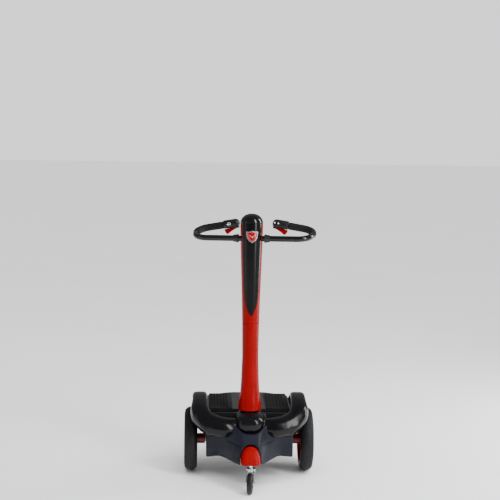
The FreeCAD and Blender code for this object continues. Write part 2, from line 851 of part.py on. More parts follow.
# ---------------------------------------------------------------- gears

def involute(angle):
    return math.tan(angle) - angle


def gear(side, teeth, module, inner, outer, phase, bore):
    """A spur gear about the X axis; tooth angles run from +Y towards +Z."""
    pitch = teeth * module / 2
    base = pitch * math.cos(PRESSURE_ANGLE)
    tip = pitch + 0.8 * module
    root = pitch - 1.05 * module
    start = max(base, root)
    pitch_half = math.pi / (2 * teeth) - 0.07 / pitch

    def point(radius, angle):
        x = along(side, inner, outer).value
        return FreeCAD.Vector(x, radius * math.cos(angle), radius * math.sin(angle))

    def half_angle(radius):
        pressure = math.acos(min(1.0, base / radius))
        return pitch_half + involute(PRESSURE_ANGLE) - involute(pressure)

    flank = (start, (start + tip) / 2, tip)
    edges = []
    for index in range(teeth):
        centre = phase + 2 * math.pi * index / teeth
        rising = [point(radius, centre - half_angle(radius)) for radius in flank]
        falling = [point(radius, centre + half_angle(radius)) for radius in reversed(flank)]
        foot = point(root, centre - half_angle(start))
        heel = point(root, centre + half_angle(start))
        following = point(root, centre + 2 * math.pi / teeth - half_angle(start))
        if start > root + 1e-6:
            edges.append(Part.LineSegment(foot, rising[0]).toShape())
        else:
            rising[0] = foot
            falling[2] = heel
        edges.append(Part.Arc(*rising).toShape())
        edges.append(Part.LineSegment(rising[2], falling[0]).toShape())
        edges.append(Part.Arc(*falling).toShape())
        if start > root + 1e-6:
            edges.append(Part.LineSegment(falling[2], heel).toShape())
        edges.append(Part.LineSegment(heel, following).toShape())
    face = Part.Face(Part.Wire(edges))
    width = outer - inner
    blank = face.extrude(FreeCAD.Vector(width, 0, 0))
    drill = Part.makeCylinder(bore, width, point(0, 0), FreeCAD.Vector(1, 0, 0))
    return blank.cut(drill)


def hub(side, inner, outer, radius, bore):
    start = FreeCAD.Vector(along(side, inner, outer).value, 0, 0)
    axis = FreeCAD.Vector(1, 0, 0)
    sleeve = Part.makeCylinder(radius, outer - inner, start, axis)
    return sleeve.cut(Part.makeCylinder(bore, outer - inner, start, axis))


def meshing_phase(phase, teeth, partner_teeth, bearing):
    """Tooth angle of a gear that meshes with one at the given bearing."""
    part = (phase - bearing) * teeth / (2 * math.pi)
    return bearing + math.pi + (0.5 - part) * 2 * math.pi / partner_teeth


STAGES = (
    # driven teeth, driving teeth, module, bearing of the next axis in degrees
    (42, 12, 1.5, 150), (44, 12, 1.25, 170), (48, 12, 1.0, 200))

axes = [FreeCAD.Vector(0, 0, axle_height.value)]
phases = [0.0]
for driven, driving, module, bearing in STAGES:
    angle = math.radians(bearing)
    distance = module * (driven + driving) / 2
    step = FreeCAD.Vector(0, distance * math.cos(angle), distance * math.sin(angle))
    axes.append(axes[-1] + step)
    phases.append(meshing_phase(0.0, driven, driving, angle))

pin_bore = dim.pin_radius.value + dim.running_gap.value
axle_bore = dim.axle_radius.value + dim.running_gap.value
for name, side in SIDES:
    output = gear(side, 42, 1.5, 122, 136, 0.0, axle_bore)
    output = output.fuse([hub(side, 98, 122, 9, axle_bore), hub(side, 136, 178, 12, axle_bore)])
    second = gear(side, 44, 1.25, 110, 119, 0.0, pin_bore)
    second = second.fuse([gear(side, 12, 1.5, 121.5, 136.5, phases[1], pin_bore),
                          hub(side, 98, 110, 6, pin_bore), hub(side, 119, 121.5, 6, pin_bore),
                          hub(side, 136.5, 139, 6, pin_bore)])
    first = gear(side, 48, 1.0, 101, 107, 0.0, pin_bore)
    first = first.fuse([gear(side, 12, 1.25, 109.5, 119.5, phases[2], pin_bore),
                        hub(side, 98, 101, 5.5, pin_bore), hub(side, 107, 109.5, 5.5, pin_bore),
                        hub(side, 119.5, 139, 5.5, pin_bore)])
    pinion = gear(side, 12, 1.0, 100, 108, phases[3], 1.6)
    rotor = Part.makeCylinder(1.6, 48, FreeCAD.Vector(along(side, 60, 108).value, 0, 0),
                              FreeCAD.Vector(1, 0, 0))
    pinion = pinion.fuse(rotor)
    labels = ("output_gear", "second_gear", "first_gear", "motor_pinion")
    for label, shape, centre in zip(labels, (output, second, first, pinion), axes):
        item = keep(solid(shape.removeSplitter()), f"{name}_{label}")
        item.Placement = FreeCAD.Placement(centre, FreeCAD.Rotation())


def case_mass(side, inset, inner, outer):
    outline = [
        (37 - inset, 83.5 + inset), (37 - inset, 158 - inset), (-20, 176 - inset),
        (-100, 176 - inset), (-122 + inset, 170 - inset), (-122 + inset, 104 + inset),
        (-66, 104 + inset), (-42, 83.5 + inset)]
    low = along(side, inner, outer)
    return prism("YZ_Plane", outline, low, low + (as_size(outer) - inner))


pins = []
cases = []
lids = []
motors = []
for name, side in SIDES:
    shafts = [shaft(side, 95, 142, axis.y, axis.z, dim.pin_radius) for axis in axes[1:3]]
    pins.extend(shafts)
    case = cut(
        case_mass(side, as_size(0), dim.case_inner, dim.case_outer),
        case_mass(side, as_size(2.5), dim.case_inner + 3, dim.case_outer + 1),
        shaft(side, 90, 99, 0, axle_height, dim.axle_radius + 0.2),
        shaft(side, 90, 99, axes[3].y, axes[3].z, 3), *shafts)
    cases.append(case)
    lids.append(cut(
        case_mass(side, as_size(0), dim.case_outer, dim.lid_outer),
        shaft(side, 130, 150, 0, axle_height, 12.6), *shafts))
    can = cut(
        fuse(shaft(side, dim.motor_inner, dim.case_inner, axes[3].y, axes[3].z,
                   dim.motor_radius),
             shaft(side, dim.motor_inner - 4, dim.motor_inner, axes[3].y, axes[3].z, 7)),
        shaft(side, 59, 95, axes[3].y, axes[3].z, 1.65))
    motors.append(can)
keep(motors[0], "left_motor")
keep(motors[1], "right_motor")
keep(group(*cases), "gearbox_cases")
keep(group(*lids), "gearbox_lids")
keep(group(*pins), "gear_pins")


# ---------------------------------------------------------------- casters

stems = []
for side in (-1, 1):
    centre = side * dim.caster_reach
    stems.append(fuse(
        cylinder("Z", (0, centre, 86), 36, dim.caster_stem_radius),
        cylinder("Z", (0, centre, 82), 4, 18),
        cylinder("Z", (0, centre, 77.3), 5, 4)))
keep(group(*stems), "caster_stems")


def caster_fork():
    """A crown plate with two legs that reach down to the wheel's bolt."""
    trail = dim.caster_trail
    crown = cylinder("Z", (0, 0, 77.3), 4, 18)
    legs = []
    for x in (-14.5, 12):
        outline = [(15, 81.3), (15, 74), (-trail + 9, 31), (-trail - 9, 31), (-trail - 9, 45),
                   (-16, 81.3)]
        legs.append(prism("YZ_Plane", outline, x, x + 2.5))
    return cut(fuse(crown, *legs), cylinder("Z", (0, 0, 70), 20, 4.06),
               cylinder("X", (-20, -trail, dim.caster_radius), 40, 4))


def caster_bolt():
    level = (-dim.caster_trail, dim.caster_radius)
    return fuse(cylinder("X", (-14.5, *level), 29, 4), cylinder("X", (-17.5, *level), 3, 6.5),
                cylinder("X", (14.5, *level), 3, 6.5))


def caster_wheel():
    half = dim.caster_width / 2
    outer = dim.caster_radius
    body = turned([
        (-half - 1, 4.05), (-half - 1, 9), (-half + 3, 11), (-half + 3, 26),
        (-half, 28), (-half, outer - 5, crown_radius(half, 5)), (half, outer - 5), (half, 28),
        (half - 3, 26), (half - 3, 11), (half + 1, 9), (half + 1, 4.05)])
    body.Placement = FreeCAD.Placement(
        vector(0, -dim.caster_trail, dim.caster_radius), FreeCAD.Rotation())
    return body


for name, side in (("front", -1), ("rear", 1)):
    frame = caster_frame(side)
    keep(group(caster_fork(), caster_bolt()), f"{name}_caster_fork", frame)
    wheel = keep(caster_wheel(), f"{name}_caster_wheel")
    wheel.Placement = frame * wheel.Placement


# ---------------------------------------------------------------- screws and wiring

screws = [fuse(cylinder("Z", (x, y, 94.6), 35, 1.95), cylinder("Z", (x, y, 94.6), 2.4, 4))
          for x, y, top in BOSSES]
keep(group(*screws), "cover_screws")

loom_level = (board_low + 5).value
loom_start = FreeCAD.Vector(0, 78, loom_level)
loom_bend = FreeCAD.Vector(0, -60, loom_level)
loom_foot = COLUMN.multVec(FreeCAD.Vector(0, 0, 2))
loom_top = COLUMN.multVec(FreeCAD.Vector(0, 0, dim.bar_height.value - 20))
loom = rod([loom_start, loom_bend, loom_foot, loom_top], [20, 20], 3)
keep(solid(loom), "wiring_loom")


# ---------------------------------------------------------------- check and write

doc.recompute()
failed = [f"{item.Name} ({item.TypeId}): {item.State}" for item in doc.Objects
          if "Invalid" in item.State or "Error" in item.State]
failed += [name for name, item in nodes.items()
           if item.Shape.isNull() or not item.Shape.isValid() or not item.Shape.Solids]
if failed:
    raise RuntimeError("failed objects: " + "; ".join(failed))

os.makedirs("parts", exist_ok=True)
for name, item in nodes.items():
    item.Shape.exportStep(f"parts/{name}.step")
print(len(nodes), "nodes written")
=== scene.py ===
"""Looks for a stand-on electric ride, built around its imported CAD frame.

Shapes are worked out in millimetres in the row frame (+X the rider's left, +Y the rear,
+Z up) and turned into metres where each mesh is made.
"""

import json
import math

import bpy
import numpy as np
from mathutils import Matrix, Vector


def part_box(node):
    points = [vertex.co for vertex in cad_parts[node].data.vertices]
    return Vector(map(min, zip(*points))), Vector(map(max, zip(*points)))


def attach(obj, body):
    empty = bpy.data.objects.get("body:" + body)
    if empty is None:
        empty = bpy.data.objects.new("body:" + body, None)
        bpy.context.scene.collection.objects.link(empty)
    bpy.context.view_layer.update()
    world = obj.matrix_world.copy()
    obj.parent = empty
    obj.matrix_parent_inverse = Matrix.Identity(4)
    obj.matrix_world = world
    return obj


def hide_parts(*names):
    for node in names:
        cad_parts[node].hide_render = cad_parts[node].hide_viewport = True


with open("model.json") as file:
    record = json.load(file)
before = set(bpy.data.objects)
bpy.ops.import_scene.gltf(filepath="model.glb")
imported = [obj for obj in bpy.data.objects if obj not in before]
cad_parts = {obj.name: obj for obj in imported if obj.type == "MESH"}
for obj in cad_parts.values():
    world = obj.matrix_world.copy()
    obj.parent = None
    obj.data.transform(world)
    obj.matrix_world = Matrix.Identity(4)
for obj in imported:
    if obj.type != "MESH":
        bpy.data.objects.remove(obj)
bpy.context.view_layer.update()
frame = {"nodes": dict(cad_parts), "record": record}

MM = 0.001
SIDES = (("left", 1), ("right", -1))
SLOT_OF = {row["node"]: row["material_slot"] for row in frame["record"]["subparts"]}


def node_box(name):
    """Lowest and highest corner of a CAD node, in millimetres."""
    low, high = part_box(name)
    return np.array(low) / MM, np.array(high) / MM


# ---- materials

NOISE_LOW, NOISE_HIGH = 0.3, 0.7     # nearly all of a noise texture lies between these
EDGE_LOW, EDGE_HIGH = 0.53, 0.62     # pointiness where wear sets in and where it is full


def node_tree():
    """A new material, its node tree, its shader and its object coordinates."""
    material = bpy.data.materials.new("look")
    material.use_nodes = True
    tree = material.node_tree
    shader = next(n for n in tree.nodes if n.type == "BSDF_PRINCIPLED")
    place = tree.nodes.new("ShaderNodeTexCoord")
    return material, tree, shader, place.outputs["Object"]


def new_node(tree, kind, inputs):
    """A shader node with some of its inputs set by name."""
    node = tree.nodes.new(f"ShaderNode{kind}")
    for name, value in inputs.items():
        node.inputs[name].default_value = value
    return node


def noise(tree, place, scale, detail=4.0, stretch=None, roughness=0.6):
    """A noise texture's output; stretch gives each axis its own scale."""
    texture = new_node(tree, "TexNoise",
                       {"Scale": scale, "Detail": detail, "Roughness": roughness})
    if stretch is not None:
        mapping = new_node(tree, "Mapping", {"Scale": stretch})
        tree.links.new(place, mapping.inputs["Vector"])
        place = mapping.outputs["Vector"]
    tree.links.new(place, texture.inputs["Vector"])
    return texture.outputs["Fac"]


def ramp(tree, value, low, high, first, last):
    """Two colours or greys, blended where value runs from low to high."""
    node = tree.nodes.new("ShaderNodeValToRGB")
    node.color_ramp.elements[0].position = low
    node.color_ramp.elements[1].position = high
    node.color_ramp.elements[0].color = (*first, 1)
    node.color_ramp.elements[1].color = (*last, 1)
    tree.links.new(value, node.inputs["Fac"])
    return node.outputs["Color"]


def map_range(tree, value, limits):
    """Rescale a value between limits given by the names of the node's inputs."""
    node = new_node(tree, "MapRange", limits)
    tree.links.new(value, node.inputs["Value"])
    return node


def coat(tree, shader, colour, unevenness, rough):
    """Give the shader its colour, and a roughness range that follows a noise."""
    tree.links.new(colour, shader.inputs["Base Color"])
    gloss = map_range(tree, unevenness, {"From Min": NOISE_LOW, "From Max": NOISE_HIGH,
                                         "To Min": rough[0], "To Max": rough[1]})
    tree.links.new(gloss.outputs["Result"], shader.inputs["Roughness"])


def bump(tree, shader, value, height, strength, before=None):
    """Raise the surface by a texture, with its height in metres."""
    node = new_node(tree, "Bump", {"Strength": strength, "Distance": height})
    tree.links.new(value, node.inputs["Height"])
    if before is not None:
        tree.links.new(before, node.inputs["Normal"])
    tree.links.new(node.outputs["Normal"], shader.inputs["Normal"])
    return node.outputs["Normal"]


def edge_wear(tree, base, worn, amount):
    """Blend towards a worn colour where the surface turns sharply."""
    geometry = tree.nodes.new("ShaderNodeNewGeometry")
    mask = map_range(tree, geometry.outputs["Pointiness"],
                     {"From Min": EDGE_LOW, "From Max": EDGE_HIGH, "To Max": amount})
    mix = tree.nodes.new("ShaderNodeMix")
    mix.data_type = "RGBA"
    tree.links.new(mask.outputs["Result"], mix.inputs["Factor"])
    tree.links.new(base, mix.inputs["A"])
    mix.inputs["B"].default_value = (*worn, 1)
    return mix.outputs["Result"]


def plastic(dark, light, rough, grain, grain_height, wear=0.15, worn=None, specular=0.5):
    """Moulded plastic: mottled colour, uneven gloss, fine grain, paler worn edges."""
    material, tree, shader, place = node_tree()
    mottle = noise(tree, place, scale=9.0, detail=5.0)
    worn = worn or tuple(min(1.0, c * 1.8 + 0.02) for c in light)
    colour = edge_wear(tree, ramp(tree, mottle, 0.35, 0.68, dark, light), worn, wear)
    handled = noise(tree, place, scale=34.0, detail=6.0, roughness=0.7)
    coat(tree, shader, colour, handled, rough)
    waves = noise(tree, place, scale=55.0, detail=2.0)
    ripple = bump(tree, shader, waves, height=0.0002, strength=0.12)
    bump(tree, shader, noise(tree, place, grain, detail=3.0), grain_height, 0.35, ripple)
    shader.inputs["Specular IOR Level"].default_value = specular
    return material


def metal(dark, light, rough, brushed=(1, 1, 1)):
    """Bare, plated or cast metal with drawn streaks and small pits."""
    material, tree, shader, place = node_tree()
    streaks = noise(tree, place, scale=60.0, detail=6.0, stretch=brushed)
    coat(tree, shader, ramp(tree, streaks, NOISE_LOW, NOISE_HIGH, dark, light), streaks, rough)
    shader.inputs["Metallic"].default_value = 1.0
    pits = noise(tree, place, scale=420.0, stretch=brushed)
    bump(tree, shader, pits, height=0.00008, strength=0.3)
    return material


def rubber(dark, light, rough, grain, grain_height, strength=0.6):
    """Rubber or foam: dusty patches over a fine open grain."""
    material, tree, shader, place = node_tree()
    dust = noise(tree, place, scale=14.0, detail=7.0, roughness=0.7)
    colour = edge_wear(tree, ramp(tree, dust, 0.4, 0.75, dark, light),
                       worn=tuple(c * 2.2 for c in light), amount=0.25)
    coat(tree, shader, colour, dust, rough)
    bump(tree, shader, noise(tree, place, grain, detail=5.0), grain_height, strength)
    shader.inputs["Specular IOR Level"].default_value = 0.3
    return material


def circuit_board():
    """Green solder mask crossed by paler copper tracks."""
    material, tree, shader, place = node_tree()
    track = new_node(tree, "TexBrick", {
        "Color1": (0.01, 0.11, 0.03, 1), "Color2": (0.015, 0.14, 0.045, 1),
        "Mortar": (0.05, 0.28, 0.09, 1), "Mortar Size": 0.03, "Scale": 90.0})
    tree.links.new(place, track.inputs["Vector"])
    coat(tree, shader, track.outputs["Color"], noise(tree, place, scale=40.0), (0.25, 0.5))
    bump(tree, shader, track.outputs["Fac"], height=0.0001, strength=0.4)
    return material


def lamp_lens():
    """Pale clear plastic with fine ribs."""
    material, tree, shader, place = node_tree()
    ribs = noise(tree, place, scale=700.0, detail=2.0)
    colour = ramp(tree, ribs, NOISE_LOW, NOISE_HIGH, (0.72, 0.72, 0.7), (0.9, 0.9, 0.88))
    coat(tree, shader, colour, ribs, (0.05, 0.2))
    bump(tree, shader, ribs, height=0.0002, strength=0.4)
    return material


# each plastic and rubber: dark and light colour, roughness range, grain scale, grain height
MATERIALS = {
    "blue_grey": plastic((0.0045, 0.0052, 0.0105), (0.0085, 0.0095, 0.017), (0.38, 0.52), 900,
        0.0001, wear=0.12, specular=0.2),
    "black_gloss": plastic((0.0015, 0.0015, 0.002), (0.004, 0.004, 0.005), (0.17, 0.26), 1200,
        0.00002, wear=0.08, specular=0.24),
    "black_panel": plastic((0.0012, 0.0013, 0.0013), (0.0032, 0.0034, 0.0034), (0.18, 0.26),
        1200, 0.00002, wear=0.05, specular=0.19),
    "black_dome": plastic((0.0012, 0.0012, 0.0014), (0.003, 0.003, 0.0034), (0.1, 0.16), 1200,
        0.00001, wear=0.05, specular=0.42),
    "black_satin": plastic((0.003, 0.003, 0.0035), (0.008, 0.008, 0.009), (0.3, 0.44), 1100,
        0.00006, wear=0.1, specular=0.4),
    "red_gloss": plastic((0.19, 0.0, 0.0005), (0.235, 0.0, 0.001), (0.24, 0.36), 1000, 0.00002,
        wear=0.1, worn=(0.4, 0.01, 0.01), specular=0.09),
    "red_rim": plastic((0.16, 0.0, 0.006), (0.24, 0.001, 0.01), (0.28, 0.45), 900, 0.00006,
        wear=0.15, worn=(0.5, 0.04, 0.05)),
    "tyre_rubber": rubber((0.003, 0.003, 0.004), (0.009, 0.0095, 0.012), (0.42, 0.62), 800,
        0.0002),
    "mat_rubber": rubber((0.004, 0.004, 0.0045), (0.01, 0.01, 0.0105), (0.6, 0.85), 1100,
        0.0002),
    "grip_foam": rubber((0.004, 0.004, 0.0045), (0.01, 0.01, 0.0105), (0.65, 0.9), 1500,
        0.0004, 0.9),
    "bar_paint": plastic((0.002, 0.002, 0.0025), (0.005, 0.005, 0.006), (0.14, 0.24), 700,
        0.00003, wear=0.15, worn=(0.06, 0.06, 0.065), specular=0.4),
    "bright_zinc": metal((0.4, 0.41, 0.43), (0.66, 0.67, 0.7), (0.14, 0.3)),
    "steel": metal((0.26, 0.27, 0.29), (0.46, 0.47, 0.49), (0.28, 0.5), brushed=(0.15, 1.0, 1.0)),
    "chassis_paint": plastic((0.012, 0.012, 0.013), (0.022, 0.022, 0.024), (0.45, 0.65), 600,
        0.0003, wear=0.3, worn=(0.2, 0.2, 0.21)),
    "gear_nylon": plastic((0.62, 0.58, 0.46), (0.74, 0.7, 0.58), (0.4, 0.6), 800, 0.00008),
    "case_plastic": plastic((0.02, 0.02, 0.022), (0.04, 0.04, 0.045), (0.5, 0.7), 700, 0.00015),
    "caster_plastic": plastic((0.003, 0.0036, 0.0038), (0.008, 0.0095, 0.0098), (0.36, 0.52),
        900, 0.00012, specular=0.3),
    "battery_case": plastic((0.02, 0.02, 0.024), (0.045, 0.045, 0.05), (0.4, 0.6), 500, 0.0002),
    "board_green": circuit_board(),
    "badge_enamel": plastic((0.42, 0.001, 0.003), (0.52, 0.003, 0.006), (0.12, 0.22), 900,
        0.00004, wear=0.1, worn=(0.8, 0.1, 0.1)),
    "chrome_plastic": metal((0.6, 0.61, 0.63), (0.86, 0.87, 0.89), (0.06, 0.18)),
    "lamp_clear": lamp_lens(),
    "loom_black": rubber((0.008, 0.008, 0.009), (0.016, 0.016, 0.018), (0.5, 0.7), 1300,
        0.0003),
    "socket_black": plastic((0.008, 0.008, 0.008), (0.016, 0.016, 0.017), (0.35, 0.5), 900,
        0.0001),
}
for look_name, material in MATERIALS.items():
    material.name = look_name
for node_name, item in frame["nodes"].items():
    item.data.materials.clear()
    item.data.materials.append(MATERIALS[SLOT_OF[node_name]])


# ---- mesh tools

def body_of_node(node):
    """The name of the body that carries a CAD node."""
    for name, members in frame["record"]["behaviour"]["bodies"].items():
        if node in members:
            return name
    raise ValueError(f"{node} is in no body")


def finish_piece(item, node, slot=None, look=None):
    """Give a piece its material and its body, and hide the CAD node that it stands for."""
    slot = slot or SLOT_OF[node]
    item.data.materials.clear()
    item.data.materials.append(MATERIALS[look or slot])
    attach(item, body_of_node(node))
    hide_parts(node)
    return item


def new_object(name, data):
    item = bpy.data.objects.new(name, data)
    bpy.context.scene.collection.objects.link(item)
    return item


def mesh_piece(name, points, faces, smooth=True):
    """A mesh object from points in millimetres."""
    data = bpy.data.meshes.new(name)
    data.from_pydata((np.asarray(points, dtype=float) * MM).tolist(), [],
                     [tuple(int(i) for i in face) for face in faces])
    data.validate()
    data.update()
    if smooth:
        data.shade_smooth()
    return new_object(name, data)


def sharpen(item, degrees):
    """Smooth shading that breaks at edges sharper than this."""
    item.data.set_sharp_from_angle(angle=math.radians(degrees))
    return item


def modify(item, kind, **settings):
    """Add a modifier to a piece."""
    modifier = item.modifiers.new(kind, kind)
    for name, value in settings.items():
        setattr(modifier, name, value)


def bevel(item, width, segments, degrees):
    """Round the edges sharper than an angle, by a width in millimetres."""
    modify(item, "BEVEL", width=width * MM, segments=segments, limit_method="ANGLE",
           angle_limit=math.radians(degrees))


def apply_modifiers(item):
    graph = bpy.context.evaluated_depsgraph_get()
    data = bpy.data.meshes.new_from_object(item.evaluated_get(graph))
    item.modifiers.clear()
    item.data = data


def finish_shading(item, degrees):
    """Apply the modifiers and shade smoothly up to an angle."""
    apply_modifiers(item)
    item.data.shade_smooth()
    return sharpen(item, degrees)


def smooth_min(a, b, blend):
    """The lower of two distances, rounded where they cross."""
    mix = np.clip(0.5 + 0.5 * (b - a) / blend, 0.0, 1.0)
    return b * (1 - mix) + a * mix - blend * mix * (1 - mix)


def smooth_max(a, b, blend):
    """The higher of two distances, rounded where they cross."""
    return -smooth_min(-a, -b, blend)


def ellipsoid(x, y, z, centre, radii):
    """Nearly the distance to an ellipsoid."""
    px, py, pz = (x - centre[0]) / radii[0], (y - centre[1]) / radii[1], (z - centre[2]) / radii[2]
    size = np.sqrt(px * px + py * py + pz * pz) + 1e-9
    slope = np.sqrt((px / radii[0]) ** 2 + (py / radii[1]) ** 2 + (pz / radii[2]) ** 2) + 1e-9
    return size * (size - 1.0) / slope


def bulge(parts, power):
    """One on the skin of a bulging box, parts being the places as shares of its half sizes."""
    return (sum(part ** power for part in parts) + 1e-9) ** (1 / power)


def rounded_box(x, y, z, low, high, radius):
    """Distance to a box with rounded edges."""
    q = [np.abs(value - (a + b) / 2) - (b - a) / 2 + radius
         for value, a, b in zip((x, y, z), low, high)]
    outside = np.sqrt(sum(np.maximum(part, 0.0) ** 2 for part in q))
    return outside + np.minimum(np.maximum(np.maximum(q[0], q[1]), q[2]), 0.0) - radius


def cut(axis, start, stop):
    """A slice of a grid along one axis."""
    window = [slice(None)] * 3
    window[axis] = slice(start, stop)
    return tuple(window)


def cell_windows(shape, others):
    """The four slices that share a grid edge, others being the axes across it."""
    windows = []
    for first in (0, 1):
        for second in (0, 1):
            window = [slice(None)] * 3
            window[others[0]] = slice(first, shape[others[0]] - 1 + first)
            window[others[1]] = slice(second, shape[others[1]] - 1 + second)
            windows.append(tuple(window))
    return windows


ACROSS = ((1, 2), (0, 2), (0, 1))


def surface_net(name, field, low, high, step):
    """A mesh of the zero level of a field, with its points pulled onto that level."""
    axes = [np.arange(a, b + step, step) for a, b in zip(low, high)]
    grid = np.meshgrid(*axes, indexing="ij")
    value = field(*grid)
    inside = value < 0
    cells = tuple(size - 1 for size in value.shape)
    total = np.zeros(cells + (3,))
    count = np.zeros(cells)
    crossings = []
    for axis, others in enumerate(ACROSS):
        near, far = cut(axis, 0, -1), cut(axis, 1, None)
        change = inside[near] != inside[far]
        crossings.append((change, inside[near]))
        with np.errstate(divide="ignore", invalid="ignore"):
            part = np.where(change, value[near] / (value[near] - value[far]), 0.0)
        place = [g[near] for g in grid]
        place[axis] = place[axis] + part * step
        for window in cell_windows(value.shape, others):
            hit = change[window]
            count += hit
            for k in range(3):
                total[..., k] += np.where(hit, place[k][window], 0.0)
    used = count > 0
    index = -np.ones(cells, dtype=np.int64)
    index[used] = np.arange(used.sum())
    points = total[used] / count[used][:, None]
    faces = []
    for axis, others in enumerate(ACROSS):
        change, starts_inside = crossings[axis]
        for k in others:
            change[cut(k, 0, 1)] = False
            change[cut(k, -1, None)] = False
        where = np.argwhere(change)
        ring = []
        for first, second in ((1, 1), (0, 1), (0, 0), (1, 0)):
            cell = where.copy()
            cell[:, others[0]] -= first
            cell[:, others[1]] -= second
            ring.append(index[tuple(cell.T)])
        quads = np.stack(ring, 1)
        turned = starts_inside[tuple(where.T)] == (axis == 1)
        quads[turned] = quads[turned][:, ::-1]
        faces.append(quads)
    faces = np.concatenate(faces)
    tiny, settling_rounds, longest_move = 0.05, 3, 0.6 * step
    for _ in range(settling_rounds):
        x, y, z = points.T
        here = field(x, y, z)
        slope = np.stack([
            field(x + tiny, y, z) - field(x - tiny, y, z),
            field(x, y + tiny, z) - field(x, y - tiny, z),
            field(x, y, z + tiny) - field(x, y, z - tiny)], 1) / (2 * tiny)
        length = (slope ** 2).sum(1) + 1e-6
        move = -(here / length)[:, None] * slope
        far = np.linalg.norm(move, axis=1, keepdims=True)
        points = points + move * np.minimum(1.0, longest_move / (far + 1e-9))
    return mesh_piece(name, points, faces)


def relax(item, factor, rounds):
    """Even out the small ripples of a grown surface."""
    modify(item, "SMOOTH", factor=factor, iterations=rounds)
    apply_modifiers(item)
    item.data.shade_smooth()
    return item


def circle(count):
    """Cosine and sine of evenly spaced turns."""
    turns = [2 * math.pi * k / count for k in range(count)]
    return [(math.cos(turn), math.sin(turn)) for turn in turns]


def ring_quads(rows, count, flip=False, closed=False):
    """Quads between rows of points that each run once around."""
    faces = []
    for row in range(rows if closed else rows - 1):
        a, b = row * count, (row + 1) % rows * count
        for k in range(count):
            k2 = (k + 1) % count
            faces.append((a + k, b + k, b + k2, a + k2) if flip
                         else (a + k, a + k2, b + k2, b + k))
    return faces


def revolve(name, profile, centre, axis, segments, closed=False):
    """A surface of revolution from (along, radius) points about an axis."""
    axis = np.array(axis, dtype=float) / np.linalg.norm(axis)
    guide = np.array((0, 0, 1.0)) if abs(axis[2]) < 0.9 else np.array((0, 1.0, 0))
    u = np.cross(axis, guide)
    u /= np.linalg.norm(u)
    v = np.cross(axis, u)
    centre = np.array(centre, dtype=float)
    points = [centre + axis * along + radius * (c * u + s * v)
              for along, radius in profile for c, s in circle(segments)]
    faces = ring_quads(len(profile), segments, flip=True, closed=closed)
    if not closed:
        last = (len(profile) - 1) * segments
        faces.append(list(range(segments)))
        faces.append([last + k for k in range(segments)][::-1])
    item = mesh_piece(name, points, faces)
    modify(item, "WELD", merge_threshold=0.01 * MM)
    apply_modifiers(item)
    return item


def both_halves(half, middle=0):
    """Half of a symmetric outline, followed by its mirror image."""
    return [*half, *((2 * middle - x, y) for x, y in reversed(half) if x != middle)]


def round_profile(points, radius, steps=4):
    """A polyline of (along, radius) points with its corners rounded off."""
    result = [points[0]]
    for before, corner, after in zip(points, points[1:], points[2:]):
        before, corner, after = (np.array(p, dtype=float) for p in (before, corner, after))
        back = before - corner
        ahead = after - corner
        reach = min(radius, 0.45 * np.linalg.norm(back), 0.45 * np.linalg.norm(ahead))
        start = corner + back / np.linalg.norm(back) * reach
        stop = corner + ahead / np.linalg.norm(ahead) * reach
        for k in range(steps + 1):
            t = k / steps
            result.append(tuple((1 - t) ** 2 * start + 2 * t * (1 - t) * corner + t * t * stop))
    result.append(points[-1])
    return result


def plate(name, outline, low, high, place, edge=0):
    """An outline in a plane, thickened from low to high, moved by a matrix."""
    count = len(outline)
    points = [(u, v, low) for u, v in outline] + [(u, v, high) for u, v in outline]
    faces = [list(range(count))[::-1], list(range(count, 2 * count))]
    item = mesh_piece(name, moved(points, place), faces + ring_quads(2, count), smooth=False)
    if edge:
        bevel(item, edge, 3, 30)
        apply_modifiers(item)
    item.data.shade_smooth()
    return sharpen(item, 40)


def join(name, items):
    """One object from several, keeping every mesh."""
    points, faces, start = [], [], 0
    for item in items:
        data = item.data
        points.extend((np.array(item.matrix_world @ v.co) / MM) for v in data.vertices)
        faces.extend([i + start for i in face.vertices] for face in data.polygons)
        start += len(data.vertices)
        bpy.data.objects.remove(item)
    return mesh_piece(name, points, faces)


def arc_path(points, radii, step):
    """Points along straight runs joined by tangent arcs."""
    points = [np.array(p, dtype=float) for p in points]
    path = [points[0]]
    for before, corner, after, radius in zip(points, points[1:], points[2:], radii):
        back = (before - corner) / np.linalg.norm(before - corner)
        ahead = (after - corner) / np.linalg.norm(after - corner)
        half = math.acos(np.clip(back @ ahead, -1, 1)) / 2
        bisector = (back + ahead) / np.linalg.norm(back + ahead)
        centre = corner + bisector * radius / math.sin(half)
        start = corner + back * radius / math.tan(half) - centre
        stop = corner + ahead * radius / math.tan(half) - centre
        sweep = math.pi - 2 * half
        count = max(4, int(radius * sweep / step))
        for k in range(count + 1):
            t = k / count
            direction = (math.sin((1 - t) * sweep) * start + math.sin(t * sweep) * stop)
            path.append(centre + direction / math.sin(sweep))
    path.append(points[-1])
    return np.array(path)


def spread(path, step):
    """The same path with points no further apart than step."""
    result = [path[0]]
    for first, last in zip(path, path[1:]):
        count = max(1, int(math.ceil(np.linalg.norm(last - first) / step)))
        for k in range(1, count + 1):
            result.append(first + (last - first) * k / count)
    return np.array(result)


def rounded_outline(low, high, radius, steps=6):
    """A rectangle between two corners, with rounded corners."""
    left, right = low[0] + radius, high[0] - radius
    front, back = low[1] + radius, high[1] - radius
    corners = ((right, back, 0), (left, back, 90), (left, front, 180), (right, front, 270))
    outline = []
    for x, y, start in corners:
        for k in range(steps + 1):
            turn = math.radians(start + 90 * k / steps)
            outline.append((x + radius * math.cos(turn), y + radius * math.sin(turn)))
    return outline


